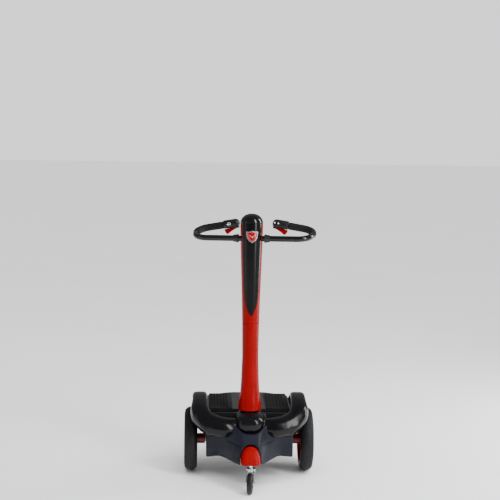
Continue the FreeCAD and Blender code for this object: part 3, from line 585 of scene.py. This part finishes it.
def tube(name, path, radius_at, segments):
    """A round skin along a path; radius_at gives the radius at each point."""
    path = np.asarray(path)
    tangent = np.gradient(path, axis=0)
    tangent /= np.linalg.norm(tangent, axis=1, keepdims=True)
    side = np.cross(tangent[0], (0.0, 0.0, 1.0))
    side /= np.linalg.norm(side)
    points = []
    for k, (centre, direction) in enumerate(zip(path, tangent)):
        side = side - direction * (side @ direction)
        side /= np.linalg.norm(side)
        up = np.cross(direction, side)
        radius = radius_at(k)
        points.extend(centre + radius * (c * side + s * up) for c, s in circle(segments))
    faces = ring_quads(len(path), segments)
    faces.append(list(range(segments))[::-1])
    faces.append([(len(path) - 1) * segments + s for s in range(segments)])
    return mesh_piece(name, points, faces)


# ---- frames

LEAN = math.radians(4.5)
COLUMN_FOOT = (0.0, -92.0, 256.0)
BAR_HEIGHT = 634.0
STEER_TURN = math.radians(11)
LEG_END = (78, 110, 53)
LEG_FALL = math.radians(9.4)
CASTER_REACH = 262
CASTER_TURN = -7    # degrees, as the photo's caster trails
AXLE_HEIGHT = 120.0
DECK = 250.0
SEAM = 190.0
FLOOR = 97.0
COLUMN = Matrix.Translation(COLUMN_FOOT) @ Matrix.Rotation(-LEAN, 4, "X")
BAR = (COLUMN @ Matrix.Translation((0, 0, BAR_HEIGHT))
       @ Matrix.Rotation(-STEER_TURN, 4, "Z"))


def leg_frame(side):
    """Frame at the open end of one leg of the handlebar, with X along the leg."""
    x, y, z = LEG_END
    return (BAR @ Matrix.Translation((side * x, y, z))
            @ Matrix.Rotation(side * LEG_FALL, 4, "Y"))


def outward_frame(side):
    """The same frame, mirrored on the right so that its X always runs outward."""
    return leg_frame(side) @ Matrix.Scale(side, 4, (1, 0, 0))


def caster_frame(side):
    turn = math.radians(CASTER_TURN + (180 if side > 0 else 0))
    return Matrix.Translation((0, side * CASTER_REACH, 0)) @ Matrix.Rotation(turn, 4, "Z")


def moved(points, frame_matrix):
    return np.array([frame_matrix @ Vector(p) for p in points])


# ---- camera, light, floor

# sensor and lens in millimetres, the camera's place in metres
SENSOR = 36.0
LENS = 83.8512
CAMERA_PLACE = (-0.180, -4.297, 1.371)
PITCH = math.radians(7.04)
YAW = math.radians(-2.35)
ROLL = math.radians(0.86)
camera_data = bpy.data.cameras.new("camera")
camera_data.sensor_width = SENSOR
camera_data.lens = LENS
camera_data.clip_start = 0.05
camera_data.clip_end = 60.0
camera = new_object("camera", camera_data)
camera.matrix_world = (
    Matrix.Translation(CAMERA_PLACE) @ Matrix.Rotation(YAW, 4, "Z")
    @ Matrix.Rotation(math.pi / 2 - PITCH, 4, "X") @ Matrix.Rotation(ROLL, 4, "Z"))
bpy.context.scene.camera = camera

# strength of the surroundings as a light, as the backdrop, and in reflections
FILL, BACKDROP, MIRRORED = 0.62, 1.42, 0.34
world = bpy.data.worlds.new("studio")
bpy.context.scene.world = world
world.use_nodes = True
studio = world.node_tree
background = studio.nodes["Background"]
background.inputs["Color"].default_value = (0.96, 0.965, 0.975, 1)
ray = studio.nodes.new("ShaderNodeLightPath")
seen = map_range(studio, ray.outputs["Is Camera Ray"], {"To Min": FILL, "To Max": BACKDROP})
mirrored = map_range(studio, ray.outputs["Is Glossy Ray"], {"To Max": MIRRORED})
studio.links.new(seen.outputs["Result"], mirrored.inputs["To Min"])
studio.links.new(mirrored.outputs["Result"], background.inputs["Strength"])


def area_light(name, place, aim, size, power):
    """A rectangular lamp that points at aim."""
    data = bpy.data.lights.new(name, "AREA")
    data.shape = "RECTANGLE"
    data.size, data.size_y = size
    data.energy = power
    item = new_object(name, data)
    item.location = place
    direction = Vector(aim) - Vector(place)
    item.rotation_euler = direction.to_track_quat("-Z", "Y").to_euler()


area_light("strip", (2.1, -2.2, 2.3), (0, 0, 0.85), (0.7, 3.6), 130)
area_light("edge_right", (2.0, 0.6, 1.2), (0, 0, 0.6), (0.35, 2.2), 42)
area_light("edge_left", (-2.7, -0.9, 1.0), (0, 0, 0.3), (0.6, 1.6), 5)
sky_data = bpy.data.lights.new("sky", "SUN")
sky_data.energy = 2.7
sky_data.angle = math.radians(60)
sky = new_object("sky", sky_data)
sky.rotation_euler = (math.radians(22), 0, math.radians(12))
sky.visible_glossy = False

FLOOR_REACH = 24000
floor_points = [(x * FLOOR_REACH, y * FLOOR_REACH, 0)
                for x, y in ((-1, -1), (1, -1), (1, 1), (-1, 1))]
floor = mesh_piece("floor", floor_points, [(0, 1, 2, 3)], smooth=False)
floor_material, floor_tree, floor_shader, floor_place = node_tree()
floor_material.name = "floor"
floor_tint = ramp(floor_tree, noise(floor_tree, floor_place, scale=1.5, detail=3.0),
                  NOISE_LOW, NOISE_HIGH, (0.92, 0.92, 0.925), (0.95, 0.95, 0.955))
floor_tree.links.new(floor_tint, floor_shader.inputs["Base Color"])
floor_shader.inputs["Roughness"].default_value = 0.7
floor.data.materials.append(floor_material)


# ---- upper cover

HALF_DECK = 160
WHEEL_ROOM = 128.5
FENDER_LEVELS = (186, 194, 230, 262, 300)
FENDER_REACHES = (156, 164, 195, 211, 215)
# (top, front edge, edge radius) of the low step, the middle step and the deck
DECK_STEPS = ((229, -146, 5), (243, -97, 4), (250, -65, 4))
# plan lines: distances from the middle, and where the line runs at each of them
DECK_FRONT = (0, 37, 110, 160, 200), (-170, -170, -160, -132, -100)
DECK_REAR = (0, 66, 118, 160, 200), (206, 206, 181, 150, 120)
# centres and radii of the rounded bumper from a fender's foot to the hump
BUMPER = ((186, -50, 258, 24), (186, -80, 244, 27), (178, -102, 228, 30),
          (156, -120, 213, 31), (126, -133, 203, 30), (95, -140, 197, 29),
          (66, -134, 202, 25))
HUMP_POWER = 2.6


def softened(x, stations, values, reach=9.0):
    """Straight runs between stations, averaged so that their corners turn smoothly."""
    offsets = np.linspace(-reach, reach, 7)
    return sum(np.interp(x + o, stations, values) for o in offsets) / len(offsets)


def from_axle(y, z):
    """Distance from the line through the main wheels."""
    return np.sqrt(y * y + (z - AXLE_HEIGHT) ** 2)


def fender(ax, y, z):
    """Rounded hoop over one main wheel, tucked in at its lower front."""
    radius = from_axle(y, z)
    limit = np.interp(z, FENDER_LEVELS, FENDER_REACHES)
    hoop = smooth_max(radius - 176, smooth_max((ax - limit) * 0.85, 156 - ax, 8), 17)
    return smooth_max(hoop, WHEEL_ROOM - radius, 3)


def capsule(x, y, z, first, last):
    """Distance to a tapered capsule between two (x, y, z, radius) ends."""
    ends = np.array(first[:3], dtype=float), np.array(last[:3], dtype=float)
    run = ends[1] - ends[0]
    px, py, pz = x - ends[0][0], y - ends[0][1], z - ends[0][2]
    t = np.clip((px * run[0] + py * run[1] + pz * run[2]) / (run @ run), 0, 1)
    away = np.sqrt((px - t * run[0]) ** 2 + (py - t * run[1]) ** 2 + (pz - t * run[2]) ** 2)
    return away - (first[3] + (last[3] - first[3]) * t)


def cover_field(x, y, z):
    """Fenders, lobes and bumper, hump and stepped deck, cut free of wheels and column."""
    ax = np.abs(x)
    lobe = ellipsoid(ax, y, z, (98, -112, 198), (72, 66, 34))
    for first, last in zip(BUMPER, BUMPER[1:]):
        lobe = smooth_min(lobe, capsule(ax, y, z, first, last), 24)
    hump = (bulge((ax / 58, np.abs(y + 110) / 77, np.abs(z - 214) / 43), HUMP_POWER) - 1) * 46
    low, middle, high = (
        rounded_box(x, y, z, (-HALF_DECK, edge, 150), (HALF_DECK, 206, top), radius)
        for top, edge, radius in DECK_STEPS)
    deck = smooth_min(np.minimum(low, high), middle, 2.5)
    front = softened(ax, *DECK_FRONT)
    rear = softened(ax, *DECK_REAR)
    slope = (225 - z) * 0.9
    plan = np.maximum(np.maximum(front - y - np.minimum(slope, 0), y - rear) * 0.85,
                      ax - HALF_DECK)
    deck = smooth_max(deck, plan, 8)
    bumper = smooth_min(fender(ax, y, z), lobe, 16)
    mass = smooth_min(bumper, deck, 6)
    mass = smooth_min(mass, hump, 5)
    under = np.where(y < 0, 171.0, SEAM + 0.6)
    mass = smooth_max(mass, under - z, 2.5)
    wheel_room = smooth_max(from_axle(y, z) - WHEEL_ROOM, 163.5 - ax, 4)
    mass = smooth_max(mass, -wheel_room, 3)
    px, py, pz = x, y - COLUMN_FOOT[1], z - COLUMN_FOOT[2]
    along = py * math.sin(LEAN) + pz * math.cos(LEAN)
    across = py * math.cos(LEAN) - pz * math.sin(LEAN)
    ring = np.sqrt((px / 44.5) ** 2 + (across / 45) ** 2) * 44.7 - 44.7
    groove = np.maximum(np.abs(ring) - 1.1, np.abs(along) - 12)
    return smooth_max(mass, -groove, 1.5)


cover = surface_net("upper_cover_shell", cover_field, (-222, -206, 160), (222, 212, 304), 2.8)
finish_piece(relax(cover, 0.5, 9), "upper_cover", slot="black_gloss")


# ---- lower housing

FLOOR_FRONT = (0, 37, 62, 110, 160, 220), (-253, -253, -201, -134, -148, -160)
SEAM_FRONT = (0, 37, 62, 110, 160, 220), (-196, -196, -172, -158, -134, -110)
FLOOR_REAR = (0, 37, 62, 110, 160, 220), (253, 253, 201, 134, 150, 160)
SEAM_REAR = (0, 37, 66, 118, 160, 220), (206, 206, 202, 180, 150, 120)
DOME_FOOT = 101
DOME_POWER = 2.3


def share(value):
    return np.clip(value, 0, 1)


def dome_field(x, ahead, z):
    """The arched end cover over a caster's stem, ahead being the distance forward."""
    rise = np.clip((z - DOME_FOOT) / 54, 0, 1.4)
    arch = (bulge((np.abs(x) / 36, rise), DOME_POWER) - 1) * 37
    arch = np.where(z > DOME_FOOT, arch, np.abs(x) - 36)
    face = ((ahead - 290) * 71 + (z - DOME_FOOT) * 50) / 86.8
    return smooth_max(arch, face, 20)


def housing_field(x, y, z):
    """Housing with sloping ends, a crease above its side pockets and a flat belly."""
    ax = np.abs(x)
    part = (z - FLOOR) / (SEAM - FLOOR)
    floor_front = softened(ax, *FLOOR_FRONT)
    tuck = 7.0 * np.clip((126 - z) / 29, 0, 1.2) ** 2 * share((ax - 45) / 40)
    front = floor_front + (softened(ax, *SEAM_FRONT) - floor_front) * part + tuck
    floor_rear = softened(ax, *FLOOR_REAR)
    rear = floor_rear + (softened(ax, *SEAM_REAR) - floor_rear) * part
    line = z - 152.5 - 0.17 * (ax - 30)
    fade = share((ax - 24) / 8) * share((92 - ax) / 16)
    groove = 1.6 * np.exp(-(line / 2.2) ** 2) * fade
    shelf = 2.4 * share(-line / 8) * share((z - 112) / 20) * fade
    body = smooth_max((front - y + groove - shelf) * 0.78, (y - rear) * 0.78, 4)
    body = smooth_max(body, ax - HALF_DECK, 7)
    corner = share((ax - 8) / 60)
    drop = 10 * corner * corner * (3 - 2 * corner) * share((-y - 60) / 40)
    body = smooth_max(body, FLOOR - drop - z, 7)
    top = SEAM - 0.6 + np.where(y < -120, 26 * np.exp(-((ax - 60) / 24) ** 2), 0.0)
    body = smooth_max(body, z - top, 2.5)
    belly = rounded_box(x, y, z, (-157, -70, 80), (157, 70, 120), 8)
    body = smooth_min(body, belly, 5)
    body = smooth_max(body, -np.maximum(from_axle(y, z) - 15.5, 150 - ax), 2)
    return smooth_max(body, 1.3 - dome_field(ax, np.abs(y), z), 1.2)


housing = surface_net("lower_housing_shell", housing_field,
                      (-166, -262, 74), (166, 262, 222), 2.6)
finish_piece(housing, "lower_housing")


# ---- end covers

def end_cover(side):
    """The red cover at the nose (side -1) or the tail (side 1)."""
    def field(x, y, z):
        ahead = side * y
        shape = smooth_max(dome_field(x, ahead, z), DOME_FOOT + 0.4 - z, 4)
        return smooth_max(shape, 225 - ahead, 2)
    near, far = sorted((side * 222, side * 294))
    return surface_net(f"{'tail' if side > 0 else 'nose'}_cover_dome", field,
                       (-40, near, 98), (40, far, 170), 1.8)


finish_piece(end_cover(-1), "nose_cover")
finish_piece(end_cover(1), "tail_cover")


# ---- column

SECTION_HEIGHTS = (0, 25, 66, 110, 200, 322, 402, 490, 560, 638, 690)
SECTION_WIDTHS = (43, 41.5, 35.5, 33, 30, 31.5, 33.5, 36.5, 39, 41.5, 42)
SECTION_DEPTHS = (43.5, 42, 36, 34, 31, 34, 37, 41, 44, 47, 47.5)
PANEL_HEIGHTS = (350, 357, 374, 397, 420, 480, 578, 640, 690)
PANEL_WIDTHS = (0, 7, 14, 21.5, 25, 29, 32.5, 35, 36)
COLUMN_WALL = 2.8
# where the pieces of the column start and stop along it
LOWER_RUN = (0.5, 321.6)
UPPER_RUN = (322.4, 689.7)
PANEL_RUN = (352.0, 689.7)
HEAD_FOOT = 690.5
HEAD_RADII = (42, 47.5, 35.5)


def section(height):
    """Half width and half depth of the column at a height along it."""
    return (float(softened(height, SECTION_HEIGHTS, SECTION_WIDTHS, 14)),
            float(softened(height, SECTION_HEIGHTS, SECTION_DEPTHS, 14)))


def panel_turn(height, gap):
    """Angle from the middle of the front to the edge of the black panel."""
    width = float(np.interp(height, PANEL_HEIGHTS, PANEL_WIDTHS)) + gap
    if height < PANEL_HEIGHTS[0] or width <= 0.05:
        return 0.0
    half = section(height)[0]
    return math.asin(min(1.0, width / half))


def column_point(turn, height, lift):
    """A point of the column's skin, with turn counted from the middle of the front."""
    half_width, half_depth = section(height)
    return (math.sin(turn) * (half_width + lift), -math.cos(turn) * (half_depth + lift), height)


def thicken(item):
    """Give a skin its wall, soften its edges and shade it."""
    modify(item, "SOLIDIFY", thickness=COLUMN_WALL * MM, offset=-1)
    bevel(item, 0.5, 2, 50)
    return finish_shading(item, 45)


def column_patch(name, heights, turns_at, columns, lift=0.0):
    """A strip of the column's skin, thickened inward, with softened edges."""
    points, faces = [], []
    for height in heights:
        first, last = turns_at(height)
        for k in range(columns + 1):
            points.append(column_point(first + (last - first) * k / columns, height, lift))
    for row in range(len(heights) - 1):
        for k in range(columns):
            a = row * (columns + 1) + k
            faces.append((a, a + 1, a + columns + 2, a + columns + 1))
    item = mesh_piece(name, moved(points, COLUMN), faces)
    modify(item, "WELD", merge_threshold=0.02 * MM)
    return thicken(item)


def rows(low, high, step):
    return np.linspace(low, high, int((high - low) / step) + 1)


def handlebar_slots(item):
    """Open the two side slots that let the handlebar turn."""
    outline = rounded_outline((-21.5, -13.5), (21.5, 13.5), 8)
    place = COLUMN @ Matrix(((0, 0, 1, 0), (1, 0, 0, 0), (0, 1, 0, BAR_HEIGHT), (0, 0, 0, 1)))
    tool = join("slot_cutters", [plate("slot_cutter", outline, low, high, place)
                                 for low, high in ((20, 60), (-60, -20))])
    modify(item, "BOOLEAN", operation="DIFFERENCE", solver="EXACT", object=tool)
    finish_shading(item, 45)
    bpy.data.objects.remove(tool)
    return item


lower_shell = column_patch("column_lower_skin", rows(*LOWER_RUN, 5),
                           lambda height: (0.0, 2 * math.pi), 72)
finish_piece(lower_shell, "column_lower_shell")
upper_shell = column_patch(
    "column_upper_skin", rows(*UPPER_RUN, 2.5),
    lambda height: (panel_turn(height, 0.45), 2 * math.pi - panel_turn(height, 0.45)), 84)
finish_piece(handlebar_slots(upper_shell), "column_upper_shell")
front_panel = column_patch(
    "column_front_skin", rows(*PANEL_RUN, 2.5),
    lambda height: (-panel_turn(height, -0.35), panel_turn(height, -0.35)), 48, 0.35)
finish_piece(handlebar_slots(front_panel), "column_front_panel", look="black_panel")


def head_shell():
    """The black dome on top of the column."""
    rings, count = 26, 72
    half_width, half_depth, height = HEAD_RADII
    points = []
    for ring in range(rings):
        rise = math.pi / 2 * ring / rings
        girth = math.cos(rise) ** 0.92
        points.extend((half_width * girth * s, -half_depth * girth * c,
                       HEAD_FOOT + height * math.sin(rise)) for c, s in circle(count))
    points.append((0, 0, HEAD_FOOT + height))
    faces = ring_quads(rings, count)
    last = (rings - 1) * count
    faces.extend((last + k, last + (k + 1) % count, rings * count) for k in range(count))
    return thicken(mesh_piece("head_shell", moved(points, COLUMN), faces))


finish_piece(head_shell(), "head_cover", look="black_dome")


# ---- badge

SHIELD = both_halves(((0, 665), (12, 661.5), (23.5, 662), (23, 650), (20.5, 638), (14, 626.5),
                      (0, 617)))
SHIELD_MIDDLE = 642.0
SHIELD_SCALE = 0.93


def scaled_shield(factor):
    """The shield's outline, shrunk about its middle and divided finely."""
    corners = [(x * factor, SHIELD_MIDDLE + (z - SHIELD_MIDDLE) * factor) for x, z in SHIELD]
    outline, steps = [], 6
    for first, last in zip(corners, corners[1:] + corners[:1]):
        for t in (k / steps for k in range(steps)):
            outline.append((first[0] * (1 - t) + last[0] * t, first[1] * (1 - t) + last[1] * t))
    return outline


def on_front(x, height, lift):
    """A point on the front of the column, raised by lift."""
    half_width, half_depth = section(height)
    depth = half_depth * math.sqrt(max(0.0, 1 - (x / half_width) ** 2))
    return (x, -depth - lift, height)


def shield_band(name, loops, filled=False):
    """Skin through loops of (scale, lift), each following the column's front."""
    points = [on_front(x, z, lift) for factor, lift in loops
              for x, z in scaled_shield(SHIELD_SCALE * factor)]
    count = len(points) // len(loops)
    faces = ring_quads(len(loops), count)
    if filled:
        faces.append([(len(loops) - 1) * count + k for k in range(count)])
    item = mesh_piece(name, moved(points, COLUMN), faces)
    return sharpen(item, 50)


rim_band = shield_band("badge_rim", [(1.0, 0.2), (0.995, 2.2), (0.965, 2.6), (0.90, 2.6),
                                     (0.85, 2.3), (0.83, 1.0)])
finish_piece(rim_band, "badge", slot="steel")
field_plate = shield_band("badge_field", [(0.85, 1.1), (0.80, 1.7), (0.6, 1.9), (0.3, 2.0),
                                          (0.02, 2.0)], filled=True)
finish_piece(field_plate, "badge", slot="badge_enamel")


def badge_bar(name, corners, slot):
    """A raised bar of the badge's plain device, given by its corners in (x, z)."""
    points, faces, steps = [], [], 8
    for level in (0.9, 2.7):
        for k in range(steps + 1):
            t = k / steps
            low = [a * (1 - t) + b * t for a, b in zip(corners[0], corners[1])]
            high = [a * (1 - t) + b * t for a, b in zip(corners[3], corners[2])]
            points.append(on_front(*low, level))
            points.append(on_front(*high, level))
    ring = 2 * (steps + 1)
    for k in range(steps):
        a = 2 * k
        faces.append((a, a + 2, a + 3, a + 1))
        faces.append((ring + a + 1, ring + a + 3, ring + a + 2, ring + a))
        faces.append((a, ring + a, ring + a + 2, a + 2))
        faces.append((a + 1, a + 3, ring + a + 3, ring + a + 1))
    faces.append((0, 1, ring + 1, ring))
    faces.append((ring - 2, 2 * ring - 2, 2 * ring - 1, ring - 1))
    item = mesh_piece(name, moved(points, COLUMN), faces, smooth=False)
    bevel(item, 0.3, 2, 40)
    apply_modifiers(item)
    return finish_piece(item, "badge", slot=slot)


BAR_RISE = 0.75
BAR_WIDTH = 3.6
for number, (tip, slot) in enumerate(((629.5, "black_gloss"), (637.5, "chrome_plastic"),
                                      (645.5, "black_gloss"))):
    reach = 7.0 + 2.5 * number
    end = tip + reach * BAR_RISE
    for side, letter in ((1, "a"), (-1, "b")):
        badge_bar(f"badge_bar_{number}_{letter}",
                  ((0, tip), (side * reach, end), (side * reach, end + BAR_WIDTH),
                   (0, tip + BAR_WIDTH)), slot)


# ---- handlebar

LOOP = ((-78, 110, 53), (-218, 110, 29.8), (-218, 0, 0), (218, 0, 0), (218, 110, 29.8),
        (78, 110, 53))
LOOP_BENDS = (42, 50, 50, 42)
TUBE_RADIUS = 11.0

loop = spread(arc_path(LOOP, LOOP_BENDS, 2.0), 3.0)
bar = tube("handlebar_tube", moved(loop, BAR), lambda k: TUBE_RADIUS, 44)
finish_piece(sharpen(bar, 50), "handlebar")


def bend_end():
    """Distance along the loop at which the rear bend is over."""
    leg, ahead = np.subtract(LOOP[0], LOOP[1]), np.subtract(LOOP[2], LOOP[1])
    half = math.acos(leg @ ahead / np.linalg.norm(leg) / np.linalg.norm(ahead)) / 2
    bend = math.pi - 2 * half - 1 / math.tan(half)
    return np.linalg.norm(leg) + LOOP_BENDS[0] * bend


GRIP_START = 47.2
GRIP_STOP = bend_end() + 14
GRIP_RADIUS = 14.0
LIP = 4
LIP_RISE = 2.4
RING_PITCH = 5.4
RING_DEPTH = 0.35


def grip(name, side):
    """Foam sleeve over a leg and its bend, with fine rings and rounded lips."""
    path = loop if side < 0 else loop[::-1]
    distance = np.append(0, np.cumsum(np.linalg.norm(np.diff(path, axis=0), axis=1)))
    stations = np.arange(GRIP_START, GRIP_STOP + 0.4, 0.9)
    centre = np.stack([np.interp(stations, distance, path[:, k]) for k in range(3)], 1)

    def radius_at(k):
        s = stations[k] - GRIP_START
        lip = min(s, GRIP_STOP - GRIP_START - s)
        ring = RING_DEPTH * (0.5 + 0.5 * math.cos(2 * math.pi * s / RING_PITCH)) ** 3
        if lip < LIP:
            swell = math.sqrt(max(0.0, 1 - ((LIP - lip) / LIP) ** 2))
            return GRIP_RADIUS - LIP_RISE + LIP_RISE * swell
        return GRIP_RADIUS - ring
    item = tube(f"{name}_grip_sleeve", moved(centre, BAR), radius_at, 40)
    return finish_piece(sharpen(item, 60), f"{name}_grip")


POD_RADIUS = 17.2


def pod_field(side):
    """Control housing in the leg's frame, turned so that u runs outward."""
    def field(u, v, w):
        barrel = np.sqrt(v * v + w * w) - POD_RADIUS
        nose = np.sqrt((u * 17.6 / 16.5) ** 2 + v * v + w * w) - POD_RADIUS
        shape = np.where(u < 0, nose, barrel)
        shape = smooth_max(shape, u - 46, 3)
        waist = 0.7 * np.exp(-((u - 40) / 1.0) ** 2)
        ears = rounded_box(u, v, w, (-11, -10.6, -19), (3, 10.6, -5), 2.5)
        shape = smooth_min(shape + waist, ears, 3)
        lever_slot = np.maximum(np.abs(v) - 7.7, w + 11.3)
        shape = smooth_max(shape, -lever_slot, 1.2)
        if side < 0:
            horn_bore = np.sqrt((u - 24) ** 2 + ((w - 1) / 0.83) ** 2) - 8.0
            shape = smooth_max(shape, -np.maximum(horn_bore, v + 10.9), 0.5)
        leg = np.maximum(np.sqrt(v * v + w * w) - TUBE_RADIUS - 0.02, -u - 1)
        return np.maximum(shape, -leg)
    return field


def pod(name, side):
    item = surface_net(f"{name}_pod_shell", pod_field(side), (-18.5, -18.5, -20.5),
                       (48.5, 18.5, 18.5), 1.1)
    place = outward_frame(side)
    points = np.array([place @ (v.co / MM) for v in item.data.vertices]) * MM
    item.data.vertices.foreach_set("co", points.ravel())
    if side < 0:
        item.data.flip_normals()
    item.data.update()
    return finish_piece(item, f"{name}_pod")


TRIGGER = ((-9, -12.4), (10, -13.6), (28, -15.2), (45.3, -16.8), (45.3, -22), (43.5, -29),
           (39, -35.6), (34.5, -36.2), (29, -33), (24, -29.8), (14, -25.2), (6, -21.8),
           (0, -20), (-6, -18.8), (-9, -17.6))


def trigger(name, side):
    place = outward_frame(side) @ Matrix(((1, 0, 0, 0), (0, 0, 1, 0), (0, 1, 0, 0), (0, 0, 0, 1)))
    item = plate(f"{name}_trigger_lever", TRIGGER, -6.9, 6.9, place)
    if side > 0:
        item.data.flip_normals()
    bevel(item, 2.4, 4, 50)
    return finish_piece(finish_shading(item, 30), f"{name}_trigger")


COLLAR = ((48.2, 11.05), (48.2, 16), (52, 16), (54, 15.2), (67.8, 13), (67.8, 11.05))


def collar(side):
    axis = BAR.to_3x3() @ Vector((side, 0, 0))
    item = revolve(f"bar_collar_{'a' if side > 0 else 'b'}", round_profile(COLLAR, 0.8),
                   BAR.translation, axis, 56)
    return finish_piece(sharpen(item, 35), "bar_collars")


def facing_disc(name, place, profile, flatness=1):
    """A turned button along local -Y, from (height, radius) points."""
    count = 40
    points = [(radius * c, -height, radius * flatness * s)
              for height, radius in profile for c, s in circle(count)]
    faces = ring_quads(len(profile), count)
    faces.append([(len(profile) - 1) * count + k for k in range(count)])
    return sharpen(mesh_piece(name, moved(points, place), faces), 45)


for name, side in SIDES:
    grip(name, side)
    pod(name, side)
    trigger(name, side)
    collar(side)

HORN = ((13.8, 7.4), (18.2, 7.5), (19.2, 7.1), (19.7, 6.3), (19.4, 5.6), (18.9, 5.2),
        (19.2, 4.4), (20.0, 2.6), (20.3, 0.3))
LAMP = ((12.3, 2.9), (17.2, 2.9), (18.0, 2.5), (18.4, 1.5), (18.5, 0.2))
horn_place = leg_frame(-1) @ Matrix.Translation((-24, 0, 1))
finish_piece(facing_disc("horn_button_dome", horn_place, HORN, flatness=0.82), "horn_button")
for number, local_x in enumerate((-6, 8)):
    lamp_place = leg_frame(1) @ Matrix.Translation((local_x, 0, 3))
    finish_piece(facing_disc(f"indicator_lens_{number}", lamp_place, LAMP), "indicator_lamps")


# ---- wheels

HALF_TRACK = 217
TYRE_PROFILE = both_halves(((193.6, 93.2), (192.3, 95.6), (192.7, 99.5), (195.6, 106.4),
                            (201.6, 112.8), (209, 116.9), (217, 118.2)), HALF_TRACK)
# the side of the tyre that meets the rim
TYRE_BEAD = ((240, 92.3), (236, 92.05), (198, 92.05), (194, 92.3))
# (place across the tread, stagger, half width, radius at the foot) of the rows of knobs
KNOB_ROWS = ((0.0, 0.0, 3.8, 117.9), (8.0, 0.5, 3.2, 116.7), (-8.0, 0.5, 3.2, 116.7),
             (14.4, 0.0, 3.0, 113.4), (-14.4, 0.0, 3.0, 113.4),
             (20.0, 0.5, 2.6, 107.8), (-20.0, 0.5, 2.6, 107.8))
KNOB_TILTS = (0, 8, 14.4, 20), (0, 17, 36, 52)
# (height, share of the foot's size) of the levels of a knob
KNOB_LEVELS = ((-2.2, 1.0), (1.1, 0.94), (1.7, 0.78))
KNOBS = 84
HALF_KNOB = 0.33 * 2 * math.pi / KNOBS


def tyre(name, side):
    """Tyre carcass with rows of staggered tread knobs."""
    profile = round_profile([(side * x, r) for x, r in TYRE_PROFILE], 5, 3)
    inner = [(side * x, r) for x, r in TYRE_BEAD]
    carcass = revolve(f"{name}_carcass", profile + inner, (0, 0, AXLE_HEIGHT), (1, 0, 0), 144,
                      closed=True)
    points, faces = [], []
    for offset, stagger, half_width, base in KNOB_ROWS:
        tilt = math.radians(np.interp(abs(offset), *KNOB_TILTS))
        tilt *= 1 if offset > 0 else -1
        for k in range(KNOBS):
            turn = 2 * math.pi * (k + stagger) / KNOBS
            start = len(points)
            for lift, shrink in KNOB_LEVELS:
                for su, sv in ((-1, -1), (1, -1), (1, 1), (-1, 1)):
                    u = su * half_width * shrink
                    along_x = offset + u * math.cos(tilt) + lift * math.sin(tilt)
                    radius = base + lift * math.cos(tilt) - u * math.sin(tilt)
                    angle = turn + sv * HALF_KNOB * shrink
                    points.append((side * (HALF_TRACK + along_x),
                                   radius * math.cos(angle),
                                   AXLE_HEIGHT + radius * math.sin(angle)))
            faces.extend([start + i for i in quad] for quad in ring_quads(3, 4, flip=side > 0))
            top = [start + 8 + e for e in range(4)]
            faces.append(top if side < 0 else top[::-1])
    knobs = mesh_piece(f"{name}_knobs", points, faces, smooth=False)
    item = join(f"{name}_tread", [carcass, knobs])
    return finish_piece(sharpen(item, 30), name)


for name, side in SIDES:
    tyre(f"{name}_tyre", side)


# ---- casters

CASTER_AXLE = (0, -27, 37.5)
CASTER_TREAD = both_halves(((-6.5, 27), (-9.2, 29), (-9.9, 33), (-7.5, 36.3), (-3, 37.4),
                            (0, 37.5)))
CASTER_HUB = both_halves(((6.2, 27.4), (7.4, 25), (7.4, 22.5), (4.6, 21), (4.2, 12), (8.2, 9.5),
                          (9.9, 8.5), (9.9, 3.2)))


def caster_wheel(name, side):
    """Rubber tread and dished hub of a caster, turned about its axle."""
    local = caster_frame(side)
    centre = local @ Vector(CASTER_AXLE)
    axis = local.to_3x3() @ Vector((1, 0, 0))
    ring = revolve(f"{name}_tread", round_profile(CASTER_TREAD, 2.5, 3), centre, axis, 72,
                   closed=True)
    disc = revolve(f"{name}_hub", round_profile(CASTER_HUB, 0.8, 3), centre, axis, 72,
                   closed=True)
    item = join(f"{name}_turned", [ring, disc])
    return finish_piece(sharpen(item, 32), name)


caster_wheel("front_caster_wheel", -1)
caster_wheel("rear_caster_wheel", 1)


# ---- foot mats

RIB = (8.4, 3.8)
RIB_PITCH = (11.6, 12.0)


def foot_mat(name):
    """A thin mat on the deck with rows of short rounded ribs."""
    low, high = node_box(name)
    flat = Matrix.Identity(4)
    base = plate(f"{name}_base", rounded_outline(low[:2] + 0.2, high[:2] - 0.2, 9),
                 DECK + 0.02, DECK + 2.0, flat, edge=0.7)
    ribs = []
    for y in np.arange(low[1] + 9, high[1] - 10, RIB_PITCH[1]):
        for x in np.arange(low[0] + 10, high[0] - 9, RIB_PITCH[0]):
            outline = rounded_outline((x - RIB[0] / 2, y - RIB[1] / 2),
                                      (x + RIB[0] / 2, y + RIB[1] / 2), 1.8, 3)
            ribs.append(plate("rib", outline, DECK + 1.8, DECK + 3.4, flat))
    item = join(f"{name}_ribbed", [base] + ribs)
    return finish_piece(sharpen(item, 35), name)


foot_mat("left_foot_mat")
foot_mat("right_foot_mat")
